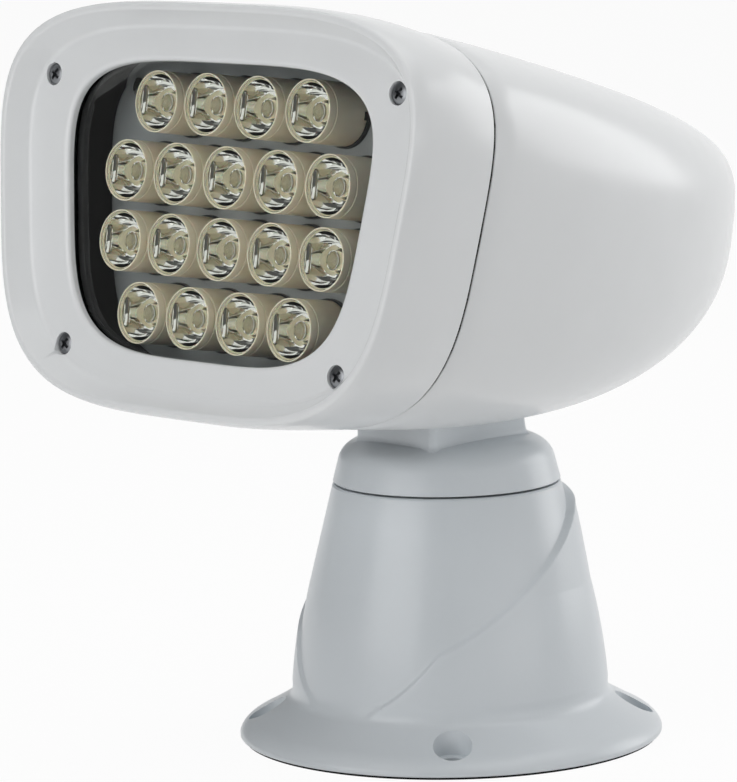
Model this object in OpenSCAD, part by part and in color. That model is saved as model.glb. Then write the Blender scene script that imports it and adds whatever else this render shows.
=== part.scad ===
// Marine searchlight: a tilting head with 18 diodes on a panning base.
// The origin is on the mounting surface, on the pan axis. The head faces -Y.

/* [Base] */
// Radius of the mounting flange
flange_r = 80; // [78:0.5:88]
// Height of the flange's upright edge above the mounting surface
flange_lip = 2.5; // [2:0.1:4]
// Radius where the rounded edge of the flange becomes a straight slope
slope_r = 73.2; // [70:0.1:76]
// Height of that point
slope_z = 8.5; // [7:0.1:11]
// Slope of the flange's top, in degrees
slope_deg = 29; // [20:1:35]
// Radius of the base wall just above the flange
base_foot_r = 58.5; // [57:0.1:60]
// Radius of the base wall where its straight cone begins
base_mid_r = 52.2; // [51:0.1:54]
// Radius of the base at its top
base_top_r = 43; // [42.5:0.1:45]
// Height where the wall leaves the flange
base_foot_z = 22; // [20:0.5:25]
// Height where the straight cone begins
base_mid_z = 60; // [56:0.5:64]
// Height of the base, at the turntable seam
base_h = 97; // [95:0.5:102]
// Wall thickness of the base
base_wall = 3.5; // [2.5:0.1:4.5]
// How far the raised shell stands out at the top of the base
relief_top = 3.2; // [2:0.1:4]
// How far the raised shell's curve is pulled out at mid height
relief_mid = 3; // [1.5:0.1:4]
// Height of the raised shell's edge on the pan axis
relief_z = 70; // [66:0.5:74]
// Slope of the raised shell's edge, in degrees
relief_deg = 34; // [28:1:38]
// Thickness of the gasket under the flange
gasket_t = 1; // [0.8:0.1:2]
// Radius of the circle that the flange's holes lie on
hole_circle_r = 69.5; // [68:0.1:71]
// Number of flange holes
hole_count = 4; // [3:1:6]
// Radius of a flange hole
hole_r = 3.25; // [2.5:0.05:4]
// Radius of the counterbore over a flange hole
counterbore_r = 7.2; // [6:0.1:8]
// Height of the counterbore's floor
counterbore_z = 5.5; // [4.5:0.1:6.5]

/* [Turntable] */
// Height of the gap between the base and the cap
seam_gap = 0.5; // [0.4:0.05:1]
// Height of the cap's upright side
cap_side_h = 8; // [6:0.5:10]
// How much the cap's side leans in over its height
cap_lean = 2; // [1:0.1:3]
// Radius where the cap's rounded edge meets its top
cap_top_r = 32; // [30:0.5:34]
// Height of the cap's dome above its bottom edge
cap_h = 17.7; // [16:0.1:18.2]
// Wall thickness of the cap and the neck
yoke_wall = 3; // [2.5:0.1:3.5]
// Width of the neck
neck_w = 41.5; // [40:0.1:44]
// Length of the neck, front to back
neck_l = 49.8; // [48:0.1:52]
// Corner radius of the neck
neck_round = 3; // [2:0.1:4]
// Height of the neck above the tilt axis
neck_rise = 16; // [15:0.5:20]
// How far the back of the neck flares at its foot
neck_flare = 2.3; // [1:0.1:3]
// Radius of the pan shaft
pan_shaft_r = 12; // [11:0.1:13]
// Radius of the wire way through the pan shaft
wire_way_r = 8.5; // [7:0.1:9.5]

/* [Drives] */
// Module of the gear teeth
tooth_module = 1; // [0.9:0.05:1]
// Pressure angle of the gear teeth, in degrees
pressure_deg = 25; // [25:1:27]
// Play between meshed teeth, along the pitch circle
backlash = 0.2; // [0.15:0.01:0.3]
// Teeth of the pan gear
pan_teeth = 56; // [52:4:60]
// Teeth of the pan pinion
pan_pinion_teeth = 14; // [12:1:15]
// Teeth of the full wheel that the tilt sector is cut from
tilt_teeth = 48; // [44:4:48]
// Teeth of the tilt pinion
tilt_pinion_teeth = 12; // [12:1:13]
// Face width of the gears
gear_w = 6; // [5:0.5:6.5]
// Radius of the motors' gearboxes
gearbox_r = 12.5; // [11.5:0.1:13]
// Length of the motors' gearboxes
gearbox_l = 13; // [11:0.5:14]
// Radius of the motors
motor_r = 12; // [10:0.1:12.5]
// Length of the motors
motor_l = 18; // [15:0.5:18.5]
// Radius of the gearboxes' output shafts
drive_shaft_r = 2.5; // [2:0.1:3]
// Radius of the tilt shaft
tilt_shaft_r = 5; // [4:0.1:6]
// Wall of the bushes
bush_wall = 2; // [1.5:0.1:3]
// Thickness of the bushes' flanges
bush_flange = 1.5; // [1:0.1:2]

/* [Head] */
// Upward pitch of the head at rest, in degrees
head_pitch = 8.6; // [0:0.1:9]
// Place of the tilt axis on Y
tilt_y = -3; // [-4:0.5:-2]
// Height of the tilt axis
tilt_z = 180; // [179:0.5:184]
// Tilt travel each way from rest, in degrees
tilt_travel = 15; // [10:1:15]
// Distance from the front of the diode holders back to the tilt axis
axis_depth = 110.5; // [109:0.5:114]
// Height of the tilt axis against the middle of the diodes
axis_rise = -11; // [-12:0.5:-10]
// Half width of the head at the rim
rim_a = 104; // [102:0.5:108]
// Half height of the head at the rim
rim_b = 72.5; // [71:0.5:75]
// Squareness of the head's outline at the rim
rim_n = 3.7; // [3.2:0.1:4]
// Share by which the outline is wider at its top than at its middle
rim_taper = 0.1; // [0.05:0.01:0.12]
// How far the rim stands in front of the diode holders
rim_depth = 16.2; // [15:0.1:18]
// How far the outside swells behind the rim
rim_swell = 1.8; // [1:0.1:2.4]
// How far the flat front face lies in front of the diode holders
face_depth = 7.6; // [7:0.1:8.4]
// Width of the sloped band between the rim and the flat face
band_w = 6.8; // [5:0.1:8]
// Half width of the window
window_a = 76.3; // [74:0.1:78]
// Half height of the window
window_b = 53.1; // [52:0.1:54]
// Squareness of the window's outline
window_n = 3.96; // [3.6:0.02:4.2]
// Depth of the bezel behind the front of the diode holders
bezel_depth = 23.4; // [22.4:0.1:25.4]
// Wall thickness of the bezel and the rear housing
head_wall = 3.2; // [2.8:0.1:3.6]
// Half width of the rear housing at the seam
housing_a = 104; // [102:0.5:107]
// Height of the rear housing above the middle at the seam
housing_top = 71.8; // [70:0.1:73]
// Depth of the rear housing below the middle at the seam
housing_bottom = 73.4; // [72:0.1:75]
// Squareness of the rear housing's outline at the seam
housing_n = 3.6; // [3.2:0.1:4]
// Squareness of the rear housing's outline at its tail
tail_n = 3; // [2.4:0.1:3.4]
// Length of the rear housing
housing_l = 230; // [225:1:240]
// Height of the tail above the middle of the diodes
tail_rise = 25.4; // [22:0.2:28]
// How far the bezel stands proud of the rear housing at the seam
bezel_step = 0.3; // [0:0.1:1]
// Thickness of the seam gasket
seam_t = 1.2; // [0.8:0.1:1.5]

/* [Light] */
// Distance between neighbouring diodes in a row
diode_pitch = 26.4; // [26:0.1:27]
// Distance between rows of diodes
row_pitch = 25.6; // [25:0.1:26]
// Diodes in each row
row_counts = [4, 5, 5, 4];
// Radius of a diode's holder
holder_r = 11.25; // [10.5:0.05:11.5]
// Length of a diode's holder
holder_l = 18.4; // [17:0.1:20]
// Wall thickness of a diode's holder
holder_wall = 1.2; // [1:0.1:1.4]
// Wall thickness of a holder's rim round its lens
rim_wall = 0.5; // [0.4:0.05:0.7]
// Thickness of the boards under the holders
board_t = 1.6; // [1.2:0.1:2]
// Thickness of the plate that carries the diodes
plate_t = 2; // [1.5:0.1:3]
// Thickness of the window glass
glass_t = 2.5; // [2:0.1:2.7]
// How far the glass reaches past the window
glass_lap = 6.2; // [5:0.1:6.5]
// Thickness of the window gasket
window_gasket_t = 1; // [0.8:0.1:1.2]
// Thickness of the glass retainer
retainer_t = 3; // [2:0.1:3.5]
// Thickness of the heat sink's base
sink_t = 5; // [4:0.5:6]
// Length of the heat sink's fins
fin_l = 22; // [15:1:24]
// Thickness of a fin
fin_t = 2; // [1.5:0.1:3]
// Distance between fins
fin_pitch = 8; // [6:1:9]

/* [Fits] */
// Radial clearance of a shaft that turns in a bush
running_fit = 0.04; // [0.02:0.01:0.08]
// Gap between faces of parts that move past each other
face_gap = 0.3; // [0.2:0.05:0.5]
// Gap around parts that drop into a seat
seat_gap = 0.2; // [0.1:0.05:0.4]
// Gap around the neck in the slot under the head
slot_gap = 1.75; // [1.2:0.05:2.5]

/* [Hidden] */
// Overlap that joins the forms of one piece
join = 0.6;
// Points around the head's outlines
ring_points = 56;
// Steps along curves
curve_steps = 10;
$fn = 64;

// Base levels
foot_round = 3.5;
foot_pull = 0.6;
shoulder_drop = 9;
relief_lap = 0.4;
relief_end = 2.5;
relief_bend_y = 42;
relief_bend = 1.3;
deck_t = 5;
deck_z = base_h - 3;
well_r = base_top_r - base_wall;
bush_r = pan_shaft_r + bush_wall;
boss_wall = 4;
upper_bush_l = 14;
mech_plate_t = 3;
mech_plate_r = base_mid_r - base_wall - 4.5;
post_r = 4.5;
post_circle_r = mech_plate_r - post_r - 3.7;
post_angles = [210, 330, 30, 150];
floor_t = 3;
floor_z = 17;
ledge_w = 4;
ledge_h = 3;
gasket_inset = 1.4;
floor_r = base_foot_r - base_wall;
floor_boss_r = 4.5;
floor_boss_h = 14;
floor_screw_circle_r = floor_r - floor_boss_r + 0.8;
floor_screw_count = 4;
gland_y = -28;
gland_r = 6;
gland_bore_r = 4;
gland_hex_r = 9.5;
gland_hex_h = 7;
gland_nut_h = 4;
gland_neck_h = 3;

// The mechanism plate lies midway in the height left between the motor's end, the floor, the gear and the deck
gear_lift = 4;
gear_hub_over = 3;
gear_hub_wall = 4;
motor_end_h = 2;
motor_stack = motor_end_h + motor_l + gearbox_l + mech_plate_t;
gear_stack = gear_lift + gear_w + gear_hub_over;
spare_h = deck_z - upper_bush_l - gear_stack - motor_stack - floor_z;
plate_top_z = floor_z + motor_stack + spare_h / 2;
pan_gear_r = tooth_module * pan_teeth / 2;
pan_pinion_r = tooth_module * pan_pinion_teeth / 2;
pan_centre = pan_gear_r + pan_pinion_r;
gear_z = plate_top_z + gear_lift;
lower_bush_drop = 1.5;
pilot_r = 5;
pilot_h = 2;
motor_screw_offset = 9;
motor_screw_l = 6;
motor_end_r = 4;
terminal_offset = 7;
terminal_w = 2.8;
terminal_t = 0.5;
shaft_end_gap = 0.5;
gearbox_back = 3;

// Screw sizes, M2, M3 and M4
m2_r = 0.9;
m2_head_r = 1.8;
m2_head_h = 1.2;
m3_r = 1.5;
m3_head_r = 2.75;
m3_head_h = 1.8;
m4_r = 2;
m4_head_r = 4;
m4_head_h = 2.6;
screw_play = 0.2;
screw_grip = 10;
screw_end_gap = 1;

// Control board beside the pan motor, on the floor
board_w = 24;
board_l = 44;
board_x = -30;
board_y = -6;
board_edge = 3;
standoff_r = 3;
standoff_h = 4;
pin_hole_r = 1.2;
relay_size = [12, 16, 10];
relay_y = -6;
plug_size = [12, 8, 7];
plug_y = 9;
sunk = 0.2;

// Turntable levels
seal_w = 3;
cap_z = base_h + seam_gap;
cap_r = base_top_r - 0.1;
cap_shoulder_r = cap_r - cap_lean;
cap_dome = 1.2;
hub_r = pan_shaft_r + 5;
hub_z = deck_z + bush_flange + face_gap;
shaft_top_z = cap_z + 10;
circlip_t = 1.2;
circlip_w = 3;
circlip_slot = 2;
shaft_tail = 6;
shaft_bottom_z = plate_top_z - mech_plate_t - shaft_tail;
neck_floor = 5;
neck_z = cap_z + cap_h - 4;
neck_top_z = tilt_z + neck_rise;
neck_window_z = neck_z + 26;
flare_h = 14;
tilt_gear_r = tooth_module * tilt_teeth / 2;
tilt_pinion_r = tooth_module * tilt_pinion_teeth / 2;
tilt_centre = tilt_gear_r + tilt_pinion_r;
tilt_bush_r = tilt_shaft_r + bush_wall;
tilt_bush_l = yoke_wall + 4;
tilt_boss_wall = 3;
bush_flange_w = 2.5;
sector_hub_wall = 4;
sector_side = 1;
sector_x = neck_w / 2 + bush_flange + face_gap;
sector_w = gear_w + 2 * sector_side;
sector_end_deg = 24;
bracket_x = sector_x + sector_w;
bracket_t = 3;
shield_r = 49;
shield_t = 1.5;
shield_half_w = neck_w / 2 + 6;
shield_lap_deg = 3;
slot_front = neck_l / 2 + 17.7;
slot_half_w = neck_w / 2 + slot_gap;
slot_round = 6;
slot_drop = shield_r + 5;
shield_deg = atan2(slot_front, slot_drop) + tilt_travel + shield_lap_deg;

// Head levels, measured back from the front of the diode holders
seat_s = -face_depth + 3.4;
glass_s = seat_s + window_gasket_t;
retainer_s = glass_s + glass_t;
plate_s = holder_l + board_t;
sink_s = plate_s + plate_t;
fin_s = sink_s + sink_t;
housing_s = bezel_depth + seam_t;
screw_upper = [89.7, 45.9];
screw_lower = [71.6, -52.4];
screw_places = [screw_upper, [-screw_upper.x, screw_upper.y], screw_lower, [-screw_lower.x, screw_lower.y]];
screw_post_r = 5;
screw_meet_s = plate_s - 2;
screw_boss_end = housing_s + 18;
screw_counterbore = 2.8;
post_rib_t = 2.5;
post_rib_reach = 9;
chassis_boss_r = 4;
chassis_places = [[92, -4], [-92, -4], [0, rim_b - 8.2], [0, -rim_b + 7.2]];
tab_places = [[45, 64.3], [-45, 64.3], [40, -65], [-40, -65], [92, 22], [-92, 22], [84, -27], [-84, -27]];
seam_inset = 0.4;
tab_w = 7;
tab_l = 14;
retainer_lap = 1.2;
skirt_t = 1.2;
plate_screw_places = [[70, 44], [-70, 44], [60, -46], [-60, -46]];
plate_screw_head_r = m3_head_r + 0.5;
sink_w = 150;
sink_h = 102;
sink_round = 8;
sink_floor = 1;
fin_h = sink_h - 6;
fin_inner_half = 24;
fin_outer_first = 50;
post_clear = 1;
emitter_half = 2.6;
emitter_t = 1.2;
emitter_dome_r = 2.2;
holder_seat = 2.2;
holder_floor = 1.5;
holder_hole_r = 4.4;
holder_soft = 0.3;
groove_s = 3;
groove_w = 0.8;
notch_size = [3, 3.2, 2.8];
lens_front = 0.3;
lens_play = 0.05;
lens_back = holder_l - 2.2;
lens_throat_r = 4.6;
lens_pocket_r = 3.5;
lens_pocket_s = holder_l - 7.6;
lens_bulge = 1.2;
bracket_foot_w = 14;
bracket_foot_h = 44;
bracket_foot_mid = axis_rise + 10;
bracket_screw_rise = 14;
bracket_screw_edge = 5;
bracket_eye_r = 12;
driver_rise = 40;
driver_front = 62;
driver_l = 58;
driver_t = 1.6;
driver_side = 3;
board_screw_l = 5;
coil_size = [16, 16, 8];
coil_place = [-16, 14];
chip_size = [14, 12, 6];
chip_place = [15, 14];
capacitor_r = 4;
capacitor_h = 7;
capacitor_pitch = 16;
capacitor_y = 36;

// Points of a quadratic curve
function curve(a, b, c) =
    [for (i = [0:curve_steps]) let (t = i / curve_steps)
        a * (1 - t) * (1 - t) + 2 * b * t * (1 - t) + c * t * t];

// Power that keeps the sign, for the squared-off ovals
function spow(c, n) = sign(c) * pow(abs(c), 2 / n);

// Squared-off oval, wider at its top by the taper: half width a, top and bottom heights, squareness n
function oval(a, top, bottom, n, taper) =
    [for (i = [0:ring_points - 1])
        let (th = 360 * i / ring_points, h = (top - bottom) / 2, rise = spow(sin(th), n))
        [a * (1 + taper * rise) * spow(cos(th), n), (top + bottom) / 2 + h * rise]];

// Rim and window outlines, grown by d
function rim_oval(d) = oval(rim_a + d, rim_b + d, -rim_b - d, rim_n, rim_taper);
function window_oval(d) = oval(window_a + d, window_b + d, -window_b - d, window_n, rim_taper);

// An outline as a ring of points at the depth s
function at_depth(outline, s) = [for (p = outline) [p.x, s, p.y]];

// Rear housing outline at the share t of its length, drawn in by d
function fade(t, m, n) = pow(max(1 - pow(t, m), 0), 1 / n);
function housing_oval(t, d) =
    oval(housing_a * fade(t, 2, 1.7) - d,
         tail_rise * t * t + housing_top * fade(t, 1.38, 1.83) - d,
         tail_rise * t * t - housing_bottom * fade(t, 3, 1.92) + d,
         housing_n + (tail_n - housing_n) * t, rim_taper * (1 - t));

// Shares of the length where the rear housing's outlines lie, closer together towards the tail
housing_shares = concat([for (i = [0:15]) 1 - pow(1 - i / 16, 1.7)], [0.9985]);

// Wall radius of the base at a height, on its straight cone
function cone_r(z) = base_top_r + (base_mid_r - base_top_r) * (base_h - z) / (base_h - base_mid_z);

// Height of the flange's slope at a radius
function slope_at(r) = slope_z + (slope_r - r) * tan(slope_deg);

// Base wall from the flange up to the straight cone, drawn in by d
bend_z = (base_foot_z + base_mid_z) / 2;
function base_curve(d) =
    curve([base_foot_r - d, base_foot_z], [cone_r(bend_z) - d, bend_z], [base_mid_r - d, base_mid_z]);

// Solid through a chain of rings: open chains are capped, closed ones meet their own start
module ring_chain(rings, closed = false) {
    n = len(rings[0]);
    m = len(rings);
    walls = [for (j = [0:(closed ? m - 1 : m - 2)], i = [0:n - 1])
        [j * n + i, j * n + (i + 1) % n, ((j + 1) % m) * n + (i + 1) % n, ((j + 1) % m) * n + i]];
    caps = closed ? [] : [[for (i = [n - 1:-1:0]) i], [for (i = [0:n - 1]) (m - 1) * n + i]];
    polyhedron([for (r = rings, p = r) p], concat(walls, caps), convexity = 8);
}

// Flat plate with a squared-off outline between two depths
module slab(s0, s1) {
    translate([0, s1, 0]) rotate([90, 0, 0]) linear_extrude(s1 - s0) children();
}

// Rod along the depth axis
module rod(r, s0, s1, at = [0, 0]) {
    translate([at.x, s0, at.y]) rotate([-90, 0, 0]) cylinder(r = r, h = s1 - s0);
}

// Rod along the width axis, through the tilt axis unless it is moved
module cross_rod(r, x0, x1, y = tilt_y, z = tilt_z) {
    translate([x0, y, z]) rotate([0, 90, 0]) cylinder(r = r, h = x1 - x0);
}

// Carries the head's pieces from their own frame to the tilted rest pose
module in_head() {
    translate([0, tilt_y, tilt_z]) rotate([-head_pitch, 0, 0])
        translate([0, -axis_depth, -axis_rise]) children();
}

// Rounded rectangle, centred
module round_rect(w, l, r) {
    square([w, l - 2 * r], center = true);
    square([w - 2 * r, l], center = true);
    for (sx = [-1, 1], sy = [-1, 1])
        translate([sx * (w / 2 - r), sy * (l / 2 - r)]) circle(r = r);
}

// Involute of the base circle, as a point at roll angle a in degrees
function involute(rb, a) = [rb * (cos(a) + a * PI / 180 * sin(a)), rb * (sin(a) - a * PI / 180 * cos(a))];
function turned(p, a) = [p.x * cos(a) - p.y * sin(a), p.x * sin(a) + p.y * cos(a)];

// One tooth's points, centred on +X, from root to tip and back
function tooth(z) =
    let (rp = tooth_module * z / 2,
         rb = rp * cos(pressure_deg),
         rr = rp - 1.25 * tooth_module,
         rt = rp + tooth_module,
         roll_tip = sqrt(pow(rt / rb, 2) - 1) * 180 / PI,
         roll_low = rr > rb ? sqrt(pow(rr / rb, 2) - 1) * 180 / PI : 0,
         inv = tan(pressure_deg) * 180 / PI - pressure_deg,
         half = 90 / z - backlash / 4 / rp * 180 / PI + inv,
         flank = [for (i = [0:4]) turned(involute(rb, roll_low + (roll_tip - roll_low) * i / 4), -half)],
         foot = turned([rr, 0], -half),
         side = concat(rr < rb ? [foot] : [], flank))
    concat(side, [for (i = [len(side) - 1:-1:0]) [side[i].x, -side[i].y]]);

// Gear outline with a tooth centred on +X
module gear_shape(z) {
    polygon([for (i = [0:z - 1], p = tooth(z)) turned(p, 360 * i / z)]);
}

// Base

// Outline of the base without its raised shell
function base_profile() = concat(
    [[0, gasket_t], [flange_r, gasket_t], [flange_r, flange_lip]],
    curve([flange_r, flange_lip], [flange_r - 1.2, slope_z - 2.4], [slope_r, slope_z]),
    curve([base_foot_r + foot_round, slope_at(base_foot_r + foot_round)],
          [base_foot_r + foot_pull, slope_at(base_foot_r + foot_pull)], [base_foot_r, base_foot_z]),
    base_curve(0),
    [[base_top_r, base_h], [0, base_h]]);

// Raised shell that wraps the sides and back, below a sloping edge that bends down steeply at the front
module raised_shell() {
    shoulder_z = base_h - shoulder_drop;
    inner_r = base_top_r - 2 * base_wall;
    outer = curve([base_foot_r + relief_lap, base_foot_z - 2], [base_mid_r + relief_mid, base_mid_z],
                  [cone_r(shoulder_z) + relief_top, shoulder_z]);
    reach = flange_r;
    slope = tan(relief_deg);
    bend_fall = slope + relief_bend;
    intersection() {
        rotate_extrude($fn = 96)
            polygon(concat([[inner_r, base_foot_z - 2]], outer,
                           [[base_top_r + relief_lap, base_h - relief_end], [inner_r, base_h - relief_end]]));
        translate([-reach, 0, 0]) rotate([90, 0, 90]) linear_extrude(2 * reach)
            polygon([[-reach, relief_z - slope * relief_bend_y - bend_fall * (reach - relief_bend_y)],
                     [-relief_bend_y, relief_z - slope * relief_bend_y], [reach, relief_z + slope * reach],
                     [reach, -reach], [-reach, -2 * reach]]);
    }
}

module base_cavity() {
    rotate_extrude($fn = 96)
        polygon(concat(
            [[0, 0], [floor_r, 0], [floor_r, floor_z], [floor_r - ledge_w, floor_z],
             [floor_r - ledge_w, floor_z + ledge_h]],
            [for (p = base_curve(base_wall)) if (p.y > floor_z + ledge_h) p],
            [[cone_r(deck_z - deck_t) - base_wall, deck_z - deck_t], [0, deck_z - deck_t]]));
}

module base_housing() {
    color("#bcc2c6")
    difference() {
        union() {
            difference() {
                union() {
                    rotate_extrude($fn = 96) polygon(base_profile());
                    raised_shell();
                }
                base_cavity();
            }
            translate([0, 0, deck_z - upper_bush_l]) cylinder(r = bush_r + boss_wall, h = upper_bush_l);
            for (a = post_angles)
                rotate(a) translate([post_circle_r, 0, plate_top_z])
                    cylinder(r = post_r, h = deck_z - plate_top_z - 1);
            for (i = [0:floor_screw_count - 1])
                rotate(45 + 360 * i / floor_screw_count)
                    translate([floor_screw_circle_r, 0, floor_z + seat_gap])
                        cylinder(r = floor_boss_r, h = floor_boss_h);
        }
        translate([0, 0, deck_z]) cylinder(r = well_r, h = base_h);
        cylinder(r = bush_r, h = base_h);
        for (a = post_angles)
            rotate(a) translate([post_circle_r, 0, plate_top_z - join])
                cylinder(r = m3_r, h = join + screw_grip + screw_end_gap);
        for (i = [0:floor_screw_count - 1])
            rotate(45 + 360 * i / floor_screw_count) translate([floor_screw_circle_r, 0, 0])
                cylinder(r = m3_r, h = floor_z + screw_grip + screw_end_gap);
        for (i = [0:hole_count - 1])
            rotate(45 + 360 * i / hole_count) translate([hole_circle_r, 0, 0]) {
                cylinder(r = hole_r, h = base_h);
                translate([0, 0, counterbore_z]) cylinder(r = counterbore_r, h = base_h);
            }
    }
}

module base_gasket() {
    color("#1c1d1f")
    difference() {
        cylinder(r = flange_r - gasket_inset, h = gasket_t, $fn = 96);
        translate([0, 0, -1]) cylinder(r = floor_r + 1, h = gasket_t + 2);
        for (i = [0:hole_count - 1])
            rotate(45 + 360 * i / hole_count) translate([hole_circle_r, 0, -1])
                cylinder(r = hole_r, h = gasket_t + 2);
    }
}

module bottom_plate() {
    color("#8f9498")
    difference() {
        union() {
            translate([0, 0, floor_z - floor_t]) cylinder(r = floor_r - seat_gap, h = floor_t);
            for (p = board_places())
                translate([p.x, p.y, floor_z - join]) cylinder(r = standoff_r, h = standoff_h + join);
        }
        translate([0, gland_y, 0]) cylinder(r = gland_r, h = base_h);
        for (i = [0:floor_screw_count - 1])
            rotate(45 + 360 * i / floor_screw_count) translate([floor_screw_circle_r, 0, 0])
                cylinder(r = m3_r + screw_play, h = floor_z + 1);
        for (p = board_places())
            translate([p.x, p.y, floor_z]) cylinder(r = pin_hole_r, h = standoff_h + 1);
    }
}

module bottom_plate_screws() {
    color("#7c8084")
    for (i = [0:floor_screw_count - 1])
        rotate(45 + 360 * i / floor_screw_count) translate([floor_screw_circle_r, 0, floor_z - floor_t]) {
            translate([0, 0, -m3_head_h]) cylinder(r = m3_head_r, h = m3_head_h);
            cylinder(r = m3_r, h = floor_t + screw_grip);
        }
}

module cable_gland() {
    color("#2a2b2d")
    difference() {
        union() {
            translate([0, gland_y, floor_z - floor_t - gland_hex_h])
                cylinder(r = gland_hex_r, h = gland_hex_h, $fn = 6);
            translate([0, gland_y, floor_z - floor_t - gland_hex_h - gland_neck_h])
                cylinder(r = gland_r + 1, h = gland_neck_h);
            translate([0, gland_y, floor_z - floor_t]) cylinder(r = gland_r, h = floor_t + gland_nut_h + 1);
        }
        translate([0, gland_y, 0]) cylinder(r = gland_bore_r, h = base_h);
    }
}

module gland_nut() {
    color("#2a2b2d")
    translate([0, gland_y, floor_z])
    difference() {
        cylinder(r = gland_hex_r, h = gland_nut_h, $fn = 6);
        translate([0, 0, -1]) cylinder(r = gland_r, h = gland_nut_h + 2);
    }
}

// Places of the control board's four corners' holes
function board_places() =
    [for (sx = [-1, 1], sy = [-1, 1])
        [board_x + sx * (board_w / 2 - board_edge), board_y + sy * (board_l / 2 - board_edge)]];

// Block on a board, sunk a little into it
module board_block(size, place) {
    translate([place.x - size.x / 2, place.y - size.y / 2, driver_t - sunk]) cube(size);
}

module control_board() {
    color("#2e6b45")
    translate([0, 0, floor_z + standoff_h])
    difference() {
        translate([board_x, board_y, 0]) {
            translate([-board_w / 2, -board_l / 2, 0]) cube([board_w, board_l, driver_t]);
            board_block(relay_size, [0, relay_y]);
            board_block(plug_size, [0, plug_y]);
        }
        for (p = board_places()) translate([p.x, p.y, -1]) cylinder(r = pin_hole_r, h = driver_t + 2);
    }
}

module mechanism_plate() {
    color("#a7abae")
    translate([0, 0, plate_top_z - mech_plate_t])
    difference() {
        cylinder(r = mech_plate_r, h = mech_plate_t);
        translate([0, 0, -1]) cylinder(r = bush_r, h = mech_plate_t + 2);
        translate([0, pan_centre, -1]) cylinder(r = pilot_r + seat_gap, h = mech_plate_t + 2);
        for (sx = [-1, 1])
            translate([sx * motor_screw_offset, pan_centre, -1]) cylinder(r = m3_r, h = mech_plate_t + 2);
        for (a = post_angles)
            rotate(a) translate([post_circle_r, 0, -1]) cylinder(r = m3_r, h = mech_plate_t + 2);
    }
}

module mechanism_plate_screws() {
    color("#7c8084")
    for (a = post_angles)
        rotate(a) translate([post_circle_r, 0, plate_top_z - mech_plate_t]) {
            translate([0, 0, -m3_head_h]) cylinder(r = m3_head_r, h = m3_head_h);
            cylinder(r = m3_r, h = mech_plate_t + screw_grip);
        }
}

// Gearbox standing on +Z with its mounting face at the origin
module gearbox_form() {
    difference() {
        union() {
            translate([0, 0, -gearbox_l]) cylinder(r = gearbox_r, h = gearbox_l);
            translate([0, 0, -join]) cylinder(r = pilot_r, h = pilot_h + join);
        }
        translate([0, 0, -gearbox_l + gearbox_back])
            cylinder(r = drive_shaft_r + running_fit, h = gearbox_l + pilot_h);
        for (sx = [-1, 1])
            translate([sx * motor_screw_offset, 0, -motor_screw_l - screw_end_gap])
                cylinder(r = m3_r, h = motor_screw_l + 2 * screw_end_gap);
    }
}

// Motor under its gearbox, with an end boss and two terminals
module motor_form() {
    translate([0, 0, -gearbox_l - motor_l]) {
        cylinder(r = motor_r, h = motor_l);
        translate([0, 0, -motor_end_h]) cylinder(r = motor_end_r, h = motor_end_h + join);
        for (sx = [-1, 1])
            translate([sx * terminal_offset - terminal_w / 2, -terminal_t / 2, -motor_end_h])
                cube([terminal_w, terminal_t, motor_end_h + join]);
    }
}

// Pinion on its drive shaft, with its teeth at a height over the gearbox's face
module pinion_form(z, lift) {
    foot = gearbox_back + shaft_end_gap - gearbox_l;
    translate([0, 0, lift]) linear_extrude(gear_w) rotate(180) gear_shape(z);
    translate([0, 0, foot]) cylinder(r = drive_shaft_r, h = lift + gear_w + 1 - foot);
}

module motor_screw_pair(thickness) {
    for (sx = [-1, 1])
        translate([sx * motor_screw_offset, 0, 0]) {
            translate([0, 0, thickness]) cylinder(r = m3_head_r, h = m3_head_h);
            translate([0, 0, -motor_screw_l]) cylinder(r = m3_r, h = motor_screw_l + thickness);
        }
}

module at_pan_motor() {
    translate([0, pan_centre, plate_top_z - mech_plate_t]) children();
}

module pan_gearbox() {
    color("#5b5f63") at_pan_motor() gearbox_form();
}

module pan_motor() {
    color("#9a9ea1") at_pan_motor() motor_form();
}

module pan_motor_screws() {
    color("#7c8084") at_pan_motor() motor_screw_pair(mech_plate_t);
}

module pan_pinion() {
    color("#c9a45a") at_pan_motor() rotate(90) pinion_form(pan_pinion_teeth, mech_plate_t + gear_lift);
}

// Flanged bush along +Z, with its flange on top of the origin
module bush_form(inner, outer, length, flange_w) {
    difference() {
        union() {
            translate([0, 0, -length]) cylinder(r = outer, h = length);
            cylinder(r = outer + flange_w, h = bush_flange);
        }
        translate([0, 0, -length - 1]) cylinder(r = inner, h = length + bush_flange + 2);
    }
}

module upper_pan_bush() {
    color("#c79c52") translate([0, 0, deck_z])
        bush_form(pan_shaft_r + running_fit, bush_r, upper_bush_l, bush_flange_w);
}

module lower_pan_bush() {
    color("#c79c52") translate([0, 0, plate_top_z])
        bush_form(pan_shaft_r + running_fit, bush_r, mech_plate_t + lower_bush_drop, bush_flange_w);
}

module turntable_seal() {
    color("#1c1d1f")
    translate([0, 0, deck_z])
    difference() {
        cylinder(r = well_r, h = base_h - deck_z + seam_gap - face_gap);
        translate([0, 0, -1]) cylinder(r = well_r - seal_w, h = base_h);
    }
}

// Turntable

module cap_form() {
    rotate_extrude($fn = 96)
        polygon(concat(
            [[cap_r - yoke_wall, cap_z], [cap_r, cap_z]],
            curve([cap_shoulder_r, cap_z + cap_side_h], [cap_shoulder_r - 1.2, cap_z + cap_h - cap_dome - 2.2],
                  [cap_top_r, cap_z + cap_h - cap_dome]),
            [[0, cap_z + cap_h], [0, cap_z + cap_h - cap_dome - yoke_wall],
             [cap_top_r - 2, cap_z + cap_h - cap_dome - yoke_wall],
             [cap_shoulder_r - yoke_wall, cap_z + cap_side_h - 1]]));
}

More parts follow.
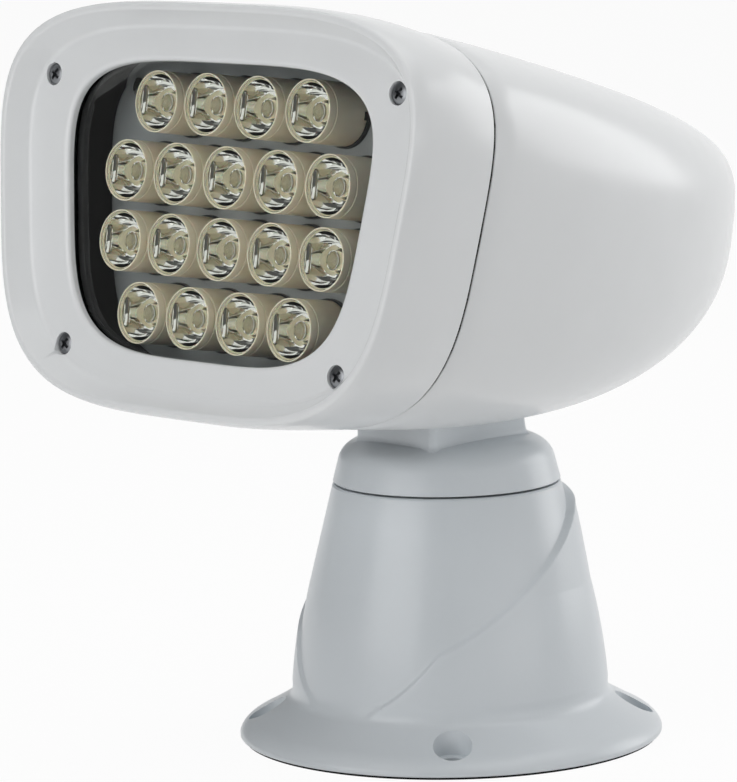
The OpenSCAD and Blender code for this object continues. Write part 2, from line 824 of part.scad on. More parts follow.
module neck_form() {
    translate([0, tilt_y, neck_z]) linear_extrude(neck_top_z - neck_z) round_rect(neck_w, neck_l, neck_round);
    translate([-neck_w / 2 + neck_round, tilt_y + neck_l / 2 - join, neck_z]) rotate([90, 0, 90])
        linear_extrude(neck_w - 2 * neck_round) polygon([[0, 0], [neck_flare + join, 0], [0, flare_h]]);
}

module yoke() {
    color("#bcc2c6")
    difference() {
        union() {
            cap_form();
            difference() {
                neck_form();
                translate([0, tilt_y, neck_z + neck_floor])
                    linear_extrude(neck_top_z - neck_z - neck_floor - yoke_wall)
                    round_rect(neck_w - 2 * yoke_wall, neck_l - 2 * yoke_wall, 1);
                translate([-neck_w / 2 + 2 * yoke_wall, tilt_y, neck_window_z])
                    cube([neck_w - 4 * yoke_wall, neck_l, neck_top_z - neck_window_z - 2 * yoke_wall]);
            }
            translate([0, 0, hub_z]) cylinder(r = hub_r, h = neck_z - hub_z + 1);
            for (sx = [-1, 1])
                mirror([sx < 0 ? 1 : 0, 0, 0])
                    cross_rod(tilt_bush_r + tilt_boss_wall, neck_w / 2 - tilt_bush_l, neck_w / 2 - 1);
        }
        translate([0, 0, hub_z - 1]) cylinder(r = pan_shaft_r, h = shaft_top_z - hub_z + 1);
        cylinder(r = wire_way_r, h = neck_z + neck_floor + 1);
        cross_rod(tilt_bush_r, -neck_w, neck_w);
        cross_rod(pilot_r + seat_gap, 0, neck_w, tilt_y, tilt_z - tilt_centre);
        for (sy = [-1, 1])
            cross_rod(m3_r, 0, neck_w, tilt_y + sy * motor_screw_offset, tilt_z - tilt_centre);
    }
}

module pan_shaft() {
    color("#d0d3d6")
    difference() {
        translate([0, 0, shaft_bottom_z]) cylinder(r = pan_shaft_r, h = shaft_top_z - shaft_bottom_z);
        translate([0, 0, shaft_bottom_z - 1]) cylinder(r = wire_way_r, h = base_h);
    }
}

module pan_gear() {
    color("#e4ddcb")
    difference() {
        union() {
            translate([0, 0, gear_z]) linear_extrude(gear_w) rotate(90 + 180 / pan_teeth) gear_shape(pan_teeth);
            translate([0, 0, plate_top_z + bush_flange + face_gap])
                cylinder(r = pan_shaft_r + gear_hub_wall, h = gear_stack - bush_flange - face_gap);
        }
        cylinder(r = pan_shaft_r, h = base_h);
    }
}

module pan_circlip() {
    color("#5b5f63")
    translate([0, 0, plate_top_z - mech_plate_t - lower_bush_drop - face_gap - circlip_t])
    difference() {
        cylinder(r = pan_shaft_r + circlip_w, h = circlip_t);
        translate([0, 0, -1]) cylinder(r = pan_shaft_r, h = circlip_t + 2);
        translate([0, -circlip_slot / 2, -1]) cube([2 * pan_shaft_r, circlip_slot, circlip_t + 2]);
    }
}

// Puts a form that stands on +Z on a side of the neck, pointing outwards
module on_neck(side, z) {
    translate([side * neck_w / 2, tilt_y, z]) rotate([0, side * 90, 0]) children();
}

module tilt_bushes() {
    color("#c79c52")
    for (side = [-1, 1])
        on_neck(side, tilt_z) bush_form(tilt_shaft_r + running_fit, tilt_bush_r, tilt_bush_l, bush_flange_w);
}

// Tilt gearbox and motor lie across the neck, against the inside of its right wall
module at_tilt_motor() {
    translate([neck_w / 2 - yoke_wall, tilt_y, tilt_z - tilt_centre]) rotate([0, 90, 0]) rotate(90) children();
}

module tilt_gearbox() {
    color("#5b5f63") at_tilt_motor() gearbox_form();
}

module tilt_motor() {
    color("#9a9ea1") at_tilt_motor() motor_form();
}

module tilt_motor_screws() {
    color("#7c8084") at_tilt_motor() motor_screw_pair(yoke_wall);
}

module tilt_pinion() {
    color("#c9a45a")
    translate([neck_w / 2 - yoke_wall, tilt_y, tilt_z - tilt_centre]) rotate([0, 90, 0])
        pinion_form(tilt_pinion_teeth, sector_x + sector_side - neck_w / 2 + yoke_wall);
}

// Curved shield round the neck that closes the slot under the head from inside
module slot_shield() {
    wedge = shield_r * tan(shield_deg / 2);
    color("#3a3c3f")
    difference() {
        intersection() {
            cross_rod(shield_r, -shield_half_w, shield_half_w);
            translate([-shield_half_w, tilt_y, tilt_z]) rotate([90, 0, 90]) linear_extrude(2 * shield_half_w)
                polygon([[0, 0], [-2 * shield_r * sin(shield_deg), -2 * shield_r * cos(shield_deg)],
                         [-wedge, -2 * shield_r], [wedge, -2 * shield_r],
                         [2 * shield_r * sin(shield_deg), -2 * shield_r * cos(shield_deg)]]);
        }
        cross_rod(shield_r - shield_t, -neck_w, neck_w);
        translate([0, tilt_y, neck_z]) linear_extrude(neck_top_z - neck_z)
            round_rect(neck_w + 2 * seat_gap, neck_l + 2 * seat_gap, neck_round + seat_gap);
    }
}

// Head

module bezel() {
    lip = 2;
    band_s = (face_depth + rim_depth) / 2;
    rings = [
        at_depth(oval(housing_a + bezel_step - head_wall, housing_top + bezel_step - head_wall,
                      -housing_bottom - bezel_step + head_wall, housing_n, rim_taper), bezel_depth),
        at_depth(rim_oval(rim_swell - head_wall), seat_s),
        at_depth(window_oval(0), seat_s),
        at_depth(window_oval(0), -face_depth + lip),
        at_depth(window_oval(0.5), -face_depth + 0.5),
        at_depth(window_oval(lip), -face_depth),
        at_depth(rim_oval(-band_w), -face_depth),
        at_depth(rim_oval(-band_w * 0.55), -band_s + 0.9),
        at_depth(rim_oval(-1.6), -rim_depth + 0.6),
        at_depth(rim_oval(-0.6), -rim_depth),
        at_depth(rim_oval(0.4), -rim_depth + 0.4),
        at_depth(rim_oval(rim_swell * 0.75), -rim_depth + 3),
        at_depth(rim_oval(rim_swell), -face_depth),
        at_depth(rim_oval(rim_swell), 4),
        at_depth(oval(housing_a + bezel_step, housing_top + bezel_step, -housing_bottom - bezel_step,
                      housing_n, rim_taper), bezel_depth)
    ];
    color("#f2f2ee")
    in_head()
    difference() {
        union() {
            ring_chain(rings, closed = true);
            for (p = screw_places) rod(screw_post_r, seat_s - join, screw_meet_s - face_gap, p);
            for (p = chassis_places) rod(chassis_boss_r, seat_s - join, plate_s, p);
            for (p = tab_places) rod(chassis_boss_r, seat_s - join, retainer_s, p);
        }
        for (p = screw_places) {
            rod(m4_r + screw_play, -rim_depth, screw_meet_s + 1, p);
            rod(m4_head_r + 0.5, -rim_depth - 1, -face_depth + screw_counterbore, p);
        }
        for (p = chassis_places) rod(m3_r, plate_s - 10, plate_s + 1, p);
        for (p = tab_places) rod(m3_r, seat_s - 0.5, retainer_s + 1, p);
    }
}

module bezel_screws() {
    under_head = -face_depth + screw_counterbore;
    color("#5a5c5e")
    in_head()
    for (p = screw_places)
        difference() {
            union() {
                rod(m4_head_r, under_head - m4_head_h, under_head, p);
                rod(m4_r, under_head - join, screw_boss_end - 8, p);
            }
            for (a = [0, 90])
                translate([p.x, under_head - m4_head_h, p.y]) rotate([0, a + 45, 0])
                    cube([4.4, 2.4, 0.9], center = true);
        }
}

module window_gasket() {
    color("#1c1d1f")
    in_head() slab(seat_s, glass_s) difference() {
        polygon(window_oval(glass_lap));
        polygon(window_oval(0.6));
    }
}

module window_glass() {
    color("#dbe6e4", 0.35)
    in_head() slab(glass_s, retainer_s) polygon(window_oval(glass_lap - seat_gap));
}

// Frame behind the glass with eight screw tabs, and a skirt that runs back to the diode plate
module glass_retainer() {
    outside = glass_lap - seat_gap;
    color("#35373a")
    in_head() {
        slab(retainer_s, retainer_s + retainer_t) difference() {
            union() {
                polygon(window_oval(outside));
                for (p = tab_places) {
                    translate(p) circle(r = chassis_boss_r);
                    translate(p * 0.93) rotate(atan2(p.y, p.x)) square([tab_l, tab_w], center = true);
                }
            }
            polygon(window_oval(retainer_lap));
            for (p = tab_places) translate(p) circle(r = m3_r);
        }
        slab(retainer_s + join, plate_s - seat_gap) difference() {
            polygon(window_oval(outside - seat_gap));
            polygon(window_oval(outside - seat_gap - skirt_t));
        }
    }
}

module retainer_screws() {
    color("#7c8084")
    in_head() for (p = tab_places) {
        rod(m3_head_r, retainer_s + retainer_t, retainer_s + retainer_t + m3_head_h, p);
        rod(m3_r, seat_s - 0.5, retainer_s + retainer_t + join, p);
    }
}

module seam_gasket() {
    color("#232426")
    in_head() slab(bezel_depth, housing_s) difference() {
        polygon(housing_oval(0, seam_inset));
        polygon(housing_oval(0, head_wall - seam_inset));
    }
}

module rear_housing() {
    outer = [for (t = housing_shares) at_depth(housing_oval(t, 0), housing_s + t * housing_l)];
    inner = [for (t = housing_shares)
        at_depth(housing_oval(t, head_wall), housing_s + t * (housing_l - head_wall))];
    count = len(housing_shares);
    color("#f2f2ee")
    difference() {
        in_head() union() {
            ring_chain(concat([for (i = [count - 1:-1:0]) inner[i]], outer));
            for (p = screw_places) {
                rod(screw_post_r, screw_meet_s, screw_boss_end, p);
                translate([p.x, housing_s + seam_t, p.y]) rotate([0, -atan2(p.y, p.x), 0])
                    translate([screw_post_r - 1, 0, -post_rib_t / 2])
                        cube([post_rib_reach - screw_post_r + 1, screw_boss_end - housing_s - 2, post_rib_t]);
            }
        }
        in_head() for (p = screw_places) rod(m4_r, screw_meet_s - 1, screw_boss_end - 3, p);
        translate([0, tilt_y, tilt_z - 3 * shield_r]) linear_extrude(2.6 * shield_r)
            round_rect(2 * slot_half_w, 2 * slot_front, slot_round);
    }
}

module diode_plate() {
    plate_a = rim_a - head_wall - 3;
    plate_b = rim_b - head_wall - 2;
    color("#8d9092")
    in_head() slab(plate_s, sink_s) difference() {
        polygon(oval(plate_a, plate_b, -plate_b, rim_n, rim_taper));
        for (p = screw_places) translate(p) circle(r = screw_post_r + 1);
        for (p = chassis_places) translate(p) circle(r = m3_r);
        for (p = plate_screw_places) translate(p) circle(r = m3_r);
    }
}

// Places of the diodes, row by row
diode_places = [for (row = [0:len(row_counts) - 1], i = [0:row_counts[row] - 1])
    [(i - (row_counts[row] - 1) / 2) * diode_pitch, ((len(row_counts) - 1) / 2 - row) * row_pitch]];

module diode_boards() {
    color("#26282a")
    in_head() for (p = diode_places) rod(holder_r + 0.7, plate_s - board_t, plate_s, p);
}

// Diode: a square base with a dome
module diode_emitters() {
    color("#d8c86a")
    in_head() for (p = diode_places)
        translate([p.x, holder_l - emitter_t, p.y]) {
            translate([-emitter_half, 0, -emitter_half]) cube([2 * emitter_half, emitter_t, 2 * emitter_half]);
            rotate([90, 0, 0]) rotate_extrude($fn = 32) {
                intersection() {
                    circle(r = emitter_dome_r);
                    square(emitter_dome_r);
                }
                translate([0, -join]) square([emitter_dome_r, join]);
            }
        }
}

// Holder: a cream cup with a fine groove behind its rim, a seat for the lens, a hole for the diode
// and four snap notches at its foot
module diode_holders() {
    seat_r = holder_r - rim_wall;
    inside = holder_r - holder_wall;
    groove_r = holder_r - holder_soft;
    groove_end = groove_s + groove_w;
    color("#e6e0c4")
    in_head() for (p = diode_places)
        translate([p.x, 0, p.y]) rotate([-90, 0, 0]) difference() {
            rotate_extrude()
                polygon([[seat_r, 0], [groove_r, 0], [holder_r, holder_soft], [holder_r, groove_s],
                         [groove_r, groove_s + 0.2], [groove_r, groove_end - 0.2], [holder_r, groove_end],
                         [holder_r, holder_l], [holder_hole_r, holder_l], [holder_hole_r, holder_l - holder_floor],
                         [inside, holder_l - holder_floor], [inside, holder_seat], [seat_r, holder_seat]]);
            for (a = [0:90:270]) rotate(a) translate([holder_r, 0, holder_l]) cube(notch_size, center = true);
        }
}

// Collimator: a clear lens whose flank throws the light forward, with a pocket over the diode
module diode_reflectors() {
    lip_r = holder_r - rim_wall - lens_play;
    mouth_r = holder_r - holder_wall - 2 * lens_play;
    flank = [for (i = [0:curve_steps]) let (t = i / curve_steps)
        [lens_throat_r + (mouth_r - lens_throat_r) * sqrt(1 - t), holder_seat + (lens_back - holder_seat) * t]];
    bulge = [for (a = [0:18:90]) [lens_pocket_r * cos(a), lens_pocket_s + lens_bulge * sin(a)]];
    color("#d9dcde")
    in_head() for (p = diode_places)
        translate([p.x, 0, p.y]) rotate([-90, 0, 0]) rotate_extrude()
            polygon(concat([[0, lens_front], [lip_r, lens_front], [lip_r, holder_seat]], flank,
                           [[lens_pocket_r, lens_back]], bulge));
}

module plate_screws() {
    color("#9fa39b")
    in_head() for (p = plate_screw_places) {
        rod(plate_screw_head_r, plate_s - m3_head_h, plate_s, p);
        rod(m3_r, plate_s - join, fin_s - sink_floor, p);
    }
}

// Heat sink with upright fins; two bays stay open for the tilt brackets' feet
module heat_sink() {
    inner_fins = [for (u = [-fin_inner_half:fin_pitch:fin_inner_half]) u];
    outer_fins = [for (u = [fin_outer_first:fin_pitch:sink_w / 2 - fin_t / 2], side = [-1, 1]) side * u];
    color("#6e7276")
    in_head() difference() {
        union() {
            slab(sink_s, fin_s) round_rect(sink_w, sink_h, sink_round);
            for (u = concat(inner_fins, outer_fins))
                translate([u - fin_t / 2, fin_s - join, -fin_h / 2]) cube([fin_t, fin_l + join, fin_h]);
        }
        for (p = screw_places) rod(screw_post_r + post_clear, sink_s - 1, fin_s + fin_l + 1, p);
        for (p = plate_screw_places) rod(m3_r, sink_s - 1, fin_s - sink_floor, p);
        for (p = bracket_screw_places()) rod(m3_r, sink_s + sink_floor, fin_s + 1, p);
    }
}

module chassis_screws() {
    color("#7c8084")
    in_head() for (p = chassis_places) {
        rod(m3_head_r, sink_s, sink_s + m3_head_h, p);
        rod(m3_r, plate_s - 8, sink_s + join, p);
    }
}

function bracket_screw_places() =
    [for (sx = [-1, 1], sz = [-1, 1])
        [sx * (bracket_x + bracket_foot_w - bracket_screw_edge), bracket_foot_mid + sz * bracket_screw_rise]];

// Pair of brackets from the heat sink back to the tilt shaft, carrying the driver board on their top edges
module tilt_brackets() {
    low = bracket_foot_mid - bracket_foot_h / 2;
    high = bracket_foot_mid + bracket_foot_h / 2;
    driver_end = driver_front + driver_l;
    color("#a7abae")
    in_head() for (side = [0, 1]) mirror([side, 0, 0]) difference() {
        union() {
            translate([bracket_x, 0, 0]) rotate([90, 0, 90]) linear_extrude(bracket_t) {
                polygon([[fin_s, low], [fin_s + 20, low], [axis_depth, axis_rise - bracket_eye_r],
                         [axis_depth + bracket_eye_r - bracket_t, axis_rise], [driver_end, driver_rise - screw_grip],
                         [driver_end, driver_rise], [driver_front, driver_rise], [fin_s, high]]);
                translate([axis_depth, axis_rise]) circle(r = bracket_eye_r);
            }
            translate([bracket_x, fin_s, low]) cube([bracket_foot_w, bracket_t, bracket_foot_h]);
        }
        translate([0, axis_depth, axis_rise]) rotate([0, 90, 0]) cylinder(r = tilt_shaft_r, h = 3 * bracket_x);
        for (p = bracket_screw_places()) rod(m3_r, fin_s - 1, fin_s + bracket_t + 1, p);
        for (p = driver_screw_places())
            translate([p.x, p.y, driver_rise - board_screw_l - screw_end_gap])
                cylinder(r = m2_r, h = board_screw_l + 2 * screw_end_gap);
    }
}

module bracket_screws() {
    color("#7c8084")
    in_head() for (p = bracket_screw_places()) {
        rod(m3_head_r, fin_s + bracket_t, fin_s + bracket_t + m3_head_h, p);
        rod(m3_r, sink_s + 1.5, fin_s + bracket_t + join, p);
    }
}

module tilt_shaft() {
    reach = bracket_x + bracket_t + 4;
    color("#d0d3d6") cross_rod(tilt_shaft_r, -reach, reach);
}

// Part of a gear wheel, on the head, that the tilt pinion drives
module tilt_sector() {
    spread = 2 * tilt_travel + sector_end_deg;
    reach = 2 * tilt_gear_r;
    color("#e4ddcb")
    translate([sector_x, tilt_y, tilt_z]) rotate([0, 90, 0])
    difference() {
        union() {
            translate([0, 0, sector_side]) linear_extrude(gear_w) intersection() {
                rotate(180 / tilt_teeth) gear_shape(tilt_teeth);
                polygon([[0, 0], reach * [cos(spread), sin(spread)], reach * [1.2, 0],
                         reach * [cos(spread), -sin(spread)]]);
            }
            cylinder(r = tilt_shaft_r + sector_hub_wall, h = sector_w);
        }
        translate([0, 0, -1]) cylinder(r = tilt_shaft_r, h = sector_w + 2);
    }
}

module tilt_spacer() {
    color("#a7abae")
    difference() {
        cross_rod(tilt_shaft_r + 3, -bracket_x, -sector_x);
        cross_rod(tilt_shaft_r, -bracket_x - 1, -sector_x + 1);
    }
}

module shaft_circlips() {
    start = bracket_x + bracket_t;
    color("#5b5f63")
    for (side = [0, 1]) mirror([side, 0, 0]) difference() {
        cross_rod(tilt_shaft_r + circlip_w, start, start + circlip_t);
        cross_rod(tilt_shaft_r, start - 1, start + circlip_t + 1);
        translate([start - 1, tilt_y - circlip_slot / 2, tilt_z])
            cube([circlip_t + 2, circlip_slot, 3 * tilt_shaft_r]);
    }
}

function driver_screw_places() =
    [for (sx = [-1, 1], along = [0.2, 0.8]) [sx * (bracket_x + bracket_t / 2), driver_front + along * driver_l]];

module driver_board() {
    half_w = bracket_x + bracket_t + driver_side;
    color("#2e6b45")
    in_head() difference() {
        translate([0, driver_front, driver_rise]) {
            translate([-half_w, 0, 0]) cube([2 * half_w, driver_l, driver_t]);
            board_block(coil_size, coil_place);
            board_block(chip_size, chip_place);
            for (i = [-1, 0, 1])
                translate([i * capacitor_pitch, capacitor_y, driver_t - sunk])
                    cylinder(r = capacitor_r, h = capacitor_h);
        }
        for (p = driver_screw_places())
            translate([p.x, p.y, driver_rise - 1]) cylinder(r = m2_r, h = driver_t + 2);
    }
}

module driver_board_screws() {
    color("#7c8084")
    in_head() for (p = driver_screw_places()) translate([p.x, p.y, driver_rise + driver_t]) {
        cylinder(r = m2_head_r, h = m2_head_h);
        translate([0, 0, -driver_t - board_screw_l])
            cylinder(r = m2_r, h = driver_t + board_screw_l + join);
    }
}

base_housing();
base_gasket();
bottom_plate();
bottom_plate_screws();
cable_gland();
gland_nut();
control_board();
mechanism_plate();
mechanism_plate_screws();
pan_gearbox();
pan_motor();
pan_motor_screws();
upper_pan_bush();
lower_pan_bush();
turntable_seal();
pan_pinion();
yoke();
pan_shaft();
pan_gear();
pan_circlip();
tilt_bushes();
tilt_gearbox();
tilt_motor();
tilt_motor_screws();
slot_shield();
tilt_pinion();
bezel();
bezel_screws();
window_gasket();
window_glass();
glass_retainer();
retainer_screws();
seam_gasket();
rear_housing();
diode_plate();
diode_boards();
diode_emitters();
diode_holders();
diode_reflectors();
plate_screws();
heat_sink();
chassis_screws();
tilt_brackets();
bracket_screws();
tilt_shaft();
tilt_sector();
tilt_spacer();
shaft_circlips();
driver_board();
driver_board_screws();
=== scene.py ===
"""Marine searchlight: smooth housings, optics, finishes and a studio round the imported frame."""

import logging
import math
from dataclasses import dataclass, field, replace
from enum import Enum
from functools import cache
from typing import Any, Iterable, Sequence

import bmesh
import bpy
from mathutils import Matrix, Vector


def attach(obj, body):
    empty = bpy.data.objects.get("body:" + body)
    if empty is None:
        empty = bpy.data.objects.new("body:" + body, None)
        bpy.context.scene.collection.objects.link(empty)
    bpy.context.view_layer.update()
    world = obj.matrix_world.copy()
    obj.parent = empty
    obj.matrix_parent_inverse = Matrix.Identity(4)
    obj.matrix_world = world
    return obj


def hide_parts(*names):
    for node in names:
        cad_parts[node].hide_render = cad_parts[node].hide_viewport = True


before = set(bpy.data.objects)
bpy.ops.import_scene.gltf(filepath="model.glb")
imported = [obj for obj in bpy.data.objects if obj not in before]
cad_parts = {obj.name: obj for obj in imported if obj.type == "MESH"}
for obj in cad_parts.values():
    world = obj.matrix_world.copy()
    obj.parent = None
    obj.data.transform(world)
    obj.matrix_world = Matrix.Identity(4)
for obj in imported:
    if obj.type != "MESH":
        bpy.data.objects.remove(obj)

Mesh = bmesh.types.BMesh
Tree = bpy.types.NodeTree
Socket = bpy.types.NodeSocket
Pair = tuple[float, float]
Triple = tuple[float, float, float]
LOG = logging.getLogger("searchlight")
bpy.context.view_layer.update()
MM = 0.001
FROM_MM = Matrix.Scale(MM, 4)
UP = Vector((0, 0, 1))
DEPTH = Vector((0, 1, 0))
FULL_TURN = 2 * math.pi
PHOTO_SIDE_PX = 782
MERGE_MM = 0.002
SEAM_MM = 0.0005


class Body(Enum):
    """Bodies of the frame that dressed pieces ride on."""

    BASE = "base"
    TURNTABLE = "turntable"
    HEAD = "head"


class Grain(Enum):
    """How a surface was made, which sets its fine pattern."""

    MOULDED = "spark-eroded mould texture"
    SPRAYED = "orange peel of sprayed lacquer"
    ROLLED = "drawn or turned metal with fine lines"


def linear(code: str) -> tuple[float, float, float, float]:
    """Turns an sRGB hex colour into linear light.

    Args:
        code: Colour such as "#f2f2ee".

    Returns:
        Linear red, green and blue, and full opacity.
    """
    parts = [int(code[i:i + 2], 16) / 255 for i in (1, 3, 5)]
    red, green, blue = (p / 12.92 if p <= 0.04045 else ((p + 0.055) / 1.055) ** 2.4 for p in parts)
    return red, green, blue, 1.0


WHITE = linear("#ffffff")


def plug(tree: Tree, node: bpy.types.Node, sockets: dict[Any, Any]) -> None:
    """Sets or links a node's inputs.

    Args:
        tree: Node tree that holds the node.
        node: Node to feed.
        sockets: Input by name or index, with a value or the output socket to link to it.
    """
    for key, value in sockets.items():
        if isinstance(value, Socket):
            tree.links.new(value, node.inputs[key])
        else:
            node.inputs[key].default_value = value


def add_node(tree: Tree, kind: str, sockets: dict[Any, Any] | None = None, **settings: Any) -> bpy.types.Node:
    """Adds a node with its settings.

    Args:
        tree: Node tree that gets the node.
        kind: Blender's name of the node type, after ShaderNode.
        sockets: What goes into its inputs, as for plug.
        **settings: Properties of the node itself.

    Returns:
        The new node.
    """
    node = tree.nodes.new("ShaderNode" + kind)
    for name, value in settings.items():
        setattr(node, name, value)
    plug(tree, node, sockets or {})
    return node


def new_material(name: str) -> tuple[bpy.types.Material, Tree, bpy.types.Node]:
    """Starts a node material.

    Args:
        name: Name of the material.

    Returns:
        The material, its node tree and its main shader.
    """
    made = bpy.data.materials.new(name)
    made.use_nodes = True
    return made, made.node_tree, made.node_tree.nodes["Principled BSDF"]


def mesh_data(name: str, mesh: Mesh) -> bpy.types.Mesh:
    """Turns a working mesh into mesh data.

    Args:
        name: Name of the data.
        mesh: Working mesh; freed here.

    Returns:
        The mesh data.
    """
    data = bpy.data.meshes.new(name)
    mesh.to_mesh(data)
    mesh.free()
    return data


def add_object(name: str, data: bpy.types.ID) -> bpy.types.Object:
    """Puts data in the scene as an object.

    Args:
        name: Name of the object.
        data: Its mesh, light or camera.

    Returns:
        The object, at the origin.
    """
    made = bpy.data.objects.new(name, data)
    bpy.context.scene.collection.objects.link(made)
    return made


def per_metre(size_mm: float) -> float:
    """Pattern scale that gives marks of a size in millimetres."""
    return 1 / (size_mm * MM)


@dataclass(frozen=True)
class Finish:
    """An opaque finish: two close tones, a fine grain in relief and a varied gloss.

    The real grain of most is 0.05 to 0.2 mm, too fine to show, so grain_mm is as coarse as it needs to be.
    """

    name: str
    colour: str
    tone: str
    roughness: float
    grain: Grain = Grain.MOULDED
    roughness_spread: float = 0.06
    mottle_mm: float = 30.0
    grain_mm: float = 0.9
    grain_depth_mm: float = 0.01
    metallic: float = 0.0
    ior: float = 1.5
    subsurface: float = 0.0
    subsurface_mm: float = 1.0

    @cache
    def material(self) -> bpy.types.Material:
        """Builds the node material of this finish, once.

        Returns:
            The material, shared by every piece with this finish.
        """
        made, tree, shader = new_material(self.name)
        place = add_node(tree, "TexCoord").outputs["Object"]
        mottle = add_node(tree, "TexNoise", {
            "Vector": place, "Scale": per_metre(self.mottle_mm), "Detail": 3.0})
        tones = add_node(tree, "Mix", {
            0: mottle.outputs["Fac"], 6: linear(self.colour), 7: linear(self.tone)}, data_type="RGBA")
        half = self.roughness_spread / 2
        gloss = add_node(tree, "MapRange", {
            "Value": mottle.outputs["Fac"], "From Min": 0.3, "From Max": 0.7,
            "To Min": self.roughness - half, "To Max": self.roughness + half})
        relief = add_node(tree, "Bump", {
            "Height": self.relief(tree, place), "Strength": 1.0, "Distance": self.grain_depth_mm * MM})
        plug(tree, shader, {
            "Base Color": tones.outputs[2], "Roughness": gloss.outputs["Result"], "Normal": relief.outputs["Normal"],
            "Metallic": self.metallic, "IOR": self.ior, "Subsurface Weight": self.subsurface,
            "Subsurface Scale": self.subsurface_mm * MM})
        return made

    def relief(self, tree: Tree, place: Socket) -> Socket:
        """Adds the pattern of the grain.

        Args:
            tree: Node tree of the material.
            place: Socket with the object's coordinates.

        Returns:
            Socket with the height of the grain, from 0 to 1.
        """
        scale = per_metre(self.grain_mm)
        if self.grain is Grain.SPRAYED:
            peel = add_node(tree, "TexVoronoi", {"Vector": place, "Scale": scale, "Smoothness": 1.0},
                            feature="SMOOTH_F1")
            return peel.outputs["Distance"]
        if self.grain is Grain.ROLLED:
            lines = add_node(tree, "Mapping", {"Vector": place, "Scale": (1.0, 0.06, 0.06)})
            place = lines.outputs["Vector"]
        noise = add_node(tree, "TexNoise", {
            "Vector": place, "Scale": scale, "Detail": 4.0, "Roughness": 0.6})
        return noise.outputs["Fac"]


@dataclass(frozen=True)
class ClearFinish:
    """A clear finish that lets lamps through, with faint smears in its polish."""

    name: str
    colour: str
    ior: float
    smear: float
    smear_mm: float = 25.0

    @cache
    def material(self) -> bpy.types.Material:
        """Builds the node material of this finish, once.

        Returns:
            The material, shared by every piece with this finish.
        """
        made, tree, shader = new_material(self.name)
        place = add_node(tree, "TexCoord").outputs["Object"]
        smears = add_node(tree, "TexNoise", {
            "Vector": place, "Scale": per_metre(self.smear_mm), "Detail": 2.0})
        polish = add_node(tree, "MapRange", {
            "Value": smears.outputs["Fac"], "From Min": 0.4, "From Max": 0.8, "To Min": 0.0, "To Max": self.smear})
        plug(tree, shader, {
            "Base Color": linear(self.colour), "IOR": self.ior, "Transmission Weight": 1.0,
            "Roughness": polish.outputs["Result"]})
        path = add_node(tree, "LightPath")
        lamp_way = add_node(tree, "BsdfTransparent", {"Color": linear(self.colour)})
        mixed = add_node(tree, "MixShader", {
            0: path.outputs["Is Shadow Ray"], 1: shader.outputs["BSDF"], 2: lamp_way.outputs["BSDF"]})
        plug(tree, tree.nodes["Material Output"], {"Surface": mixed.outputs["Shader"]})
        return made


# Injection-moulded ASA: neutral white, semi-gloss, its fine mould texture drawn coarser so that it shows
WHITE_ASA = Finish("White moulded ASA", "#e9ebec", "#edeff0", 0.24, grain_mm=0.8, grain_depth_mm=0.006)
# Lacquered casting: cool light grey, satin, with the faint peel of a sprayed coat
GREY_LACQUER = Finish("Grey lacquered casting", "#d7dde1", "#dce1e5", 0.3, Grain.SPRAYED,
                      roughness_spread=0.04, grain_mm=1.6, grain_depth_mm=0.02)
# Moulded polycarbonate: ivory, slightly translucent, smooth from a polished mould
CREAM_PC = Finish("Cream moulded polycarbonate", "#f7eeda", "#f1e6cf", 0.36, mottle_mm=6.0, grain_mm=0.6,
                  grain_depth_mm=0.006, subsurface=0.15, subsurface_mm=0.8)
# Moulded ABS in black, matt so that it throws back no light inside the head
BLACK_ABS = Finish("Black moulded ABS", "#0c0d0e", "#121314", 0.6, grain_mm=0.7, grain_depth_mm=0.015, ior=1.15)
# Moulded EPDM rubber: black, dull, with a dusty bloom
BLACK_EPDM = Finish("Black EPDM rubber", "#121314", "#1a1b1c", 0.78, mottle_mm=8.0, grain_mm=0.6,
                    grain_depth_mm=0.02, ior=1.2)
# Painted sheet: matt mid grey behind the diodes
PLATE_PAINT = Finish("Grey painted sheet", "#8f9295", "#989b9e", 0.6, Grain.SPRAYED, grain_mm=1.2,
                     grain_depth_mm=0.02)
# Acetal gears: ivory, waxy
ACETAL = Finish("Natural acetal", "#e4ddcb", "#eae4d6", 0.38, mottle_mm=10.0, grain_depth_mm=0.012, subsurface=0.2)
# Mill-finish aluminium: pale metal with fine drawing lines
ALUMINIUM = Finish("Mill-finish aluminium", "#b9bcbe", "#c4c7c9", 0.36, Grain.ROLLED, grain_mm=0.5,
                   metallic=1.0)
# Turned stainless steel: bright, with fine turning lines
STEEL = Finish("Turned stainless steel", "#c3c4c3", "#cfd0cf", 0.26, Grain.ROLLED, grain_mm=0.4,
               grain_depth_mm=0.008, metallic=1.0)
# Black zinc plate on the screws: dark metal, half gloss
BLACK_ZINC = Finish("Black zinc-plated steel", "#7d7f82", "#8d8f92", 0.32, Grain.ROLLED, mottle_mm=4.0,
                    grain_mm=0.4, metallic=1.0)
# Sintered bronze bushes: warm metal, finely pitted
BRONZE = Finish("Sintered bronze", "#a9824a", "#b88f57", 0.4, mottle_mm=5.0, grain_mm=0.5, grain_depth_mm=0.03,
                metallic=1.0)
# Solder mask over glass laminate: green, glossy, slightly uneven
SOLDER_MASK = Finish("Green solder mask", "#1f5b3a", "#2a6b47", 0.3, mottle_mm=4.0, grain_mm=1.2)
# Black solder mask under the diodes
BLACK_MASK = Finish("Black solder mask", "#17181a", "#202224", 0.4, mottle_mm=4.0, grain_mm=1.0)
# Unlit diode under silicone: a pale, faintly yellow square, soft
PHOSPHOR = Finish("Diode under silicone", "#dedccb", "#e6e4d8", 0.3, mottle_mm=2.0, grain_mm=0.4,
                  subsurface=0.2, subsurface_mm=0.5)
# Toughened float glass: a trace of green
WINDOW_GLASS = ClearFinish("Toughened float glass", "#f8faf8", 1.5, 0.02)
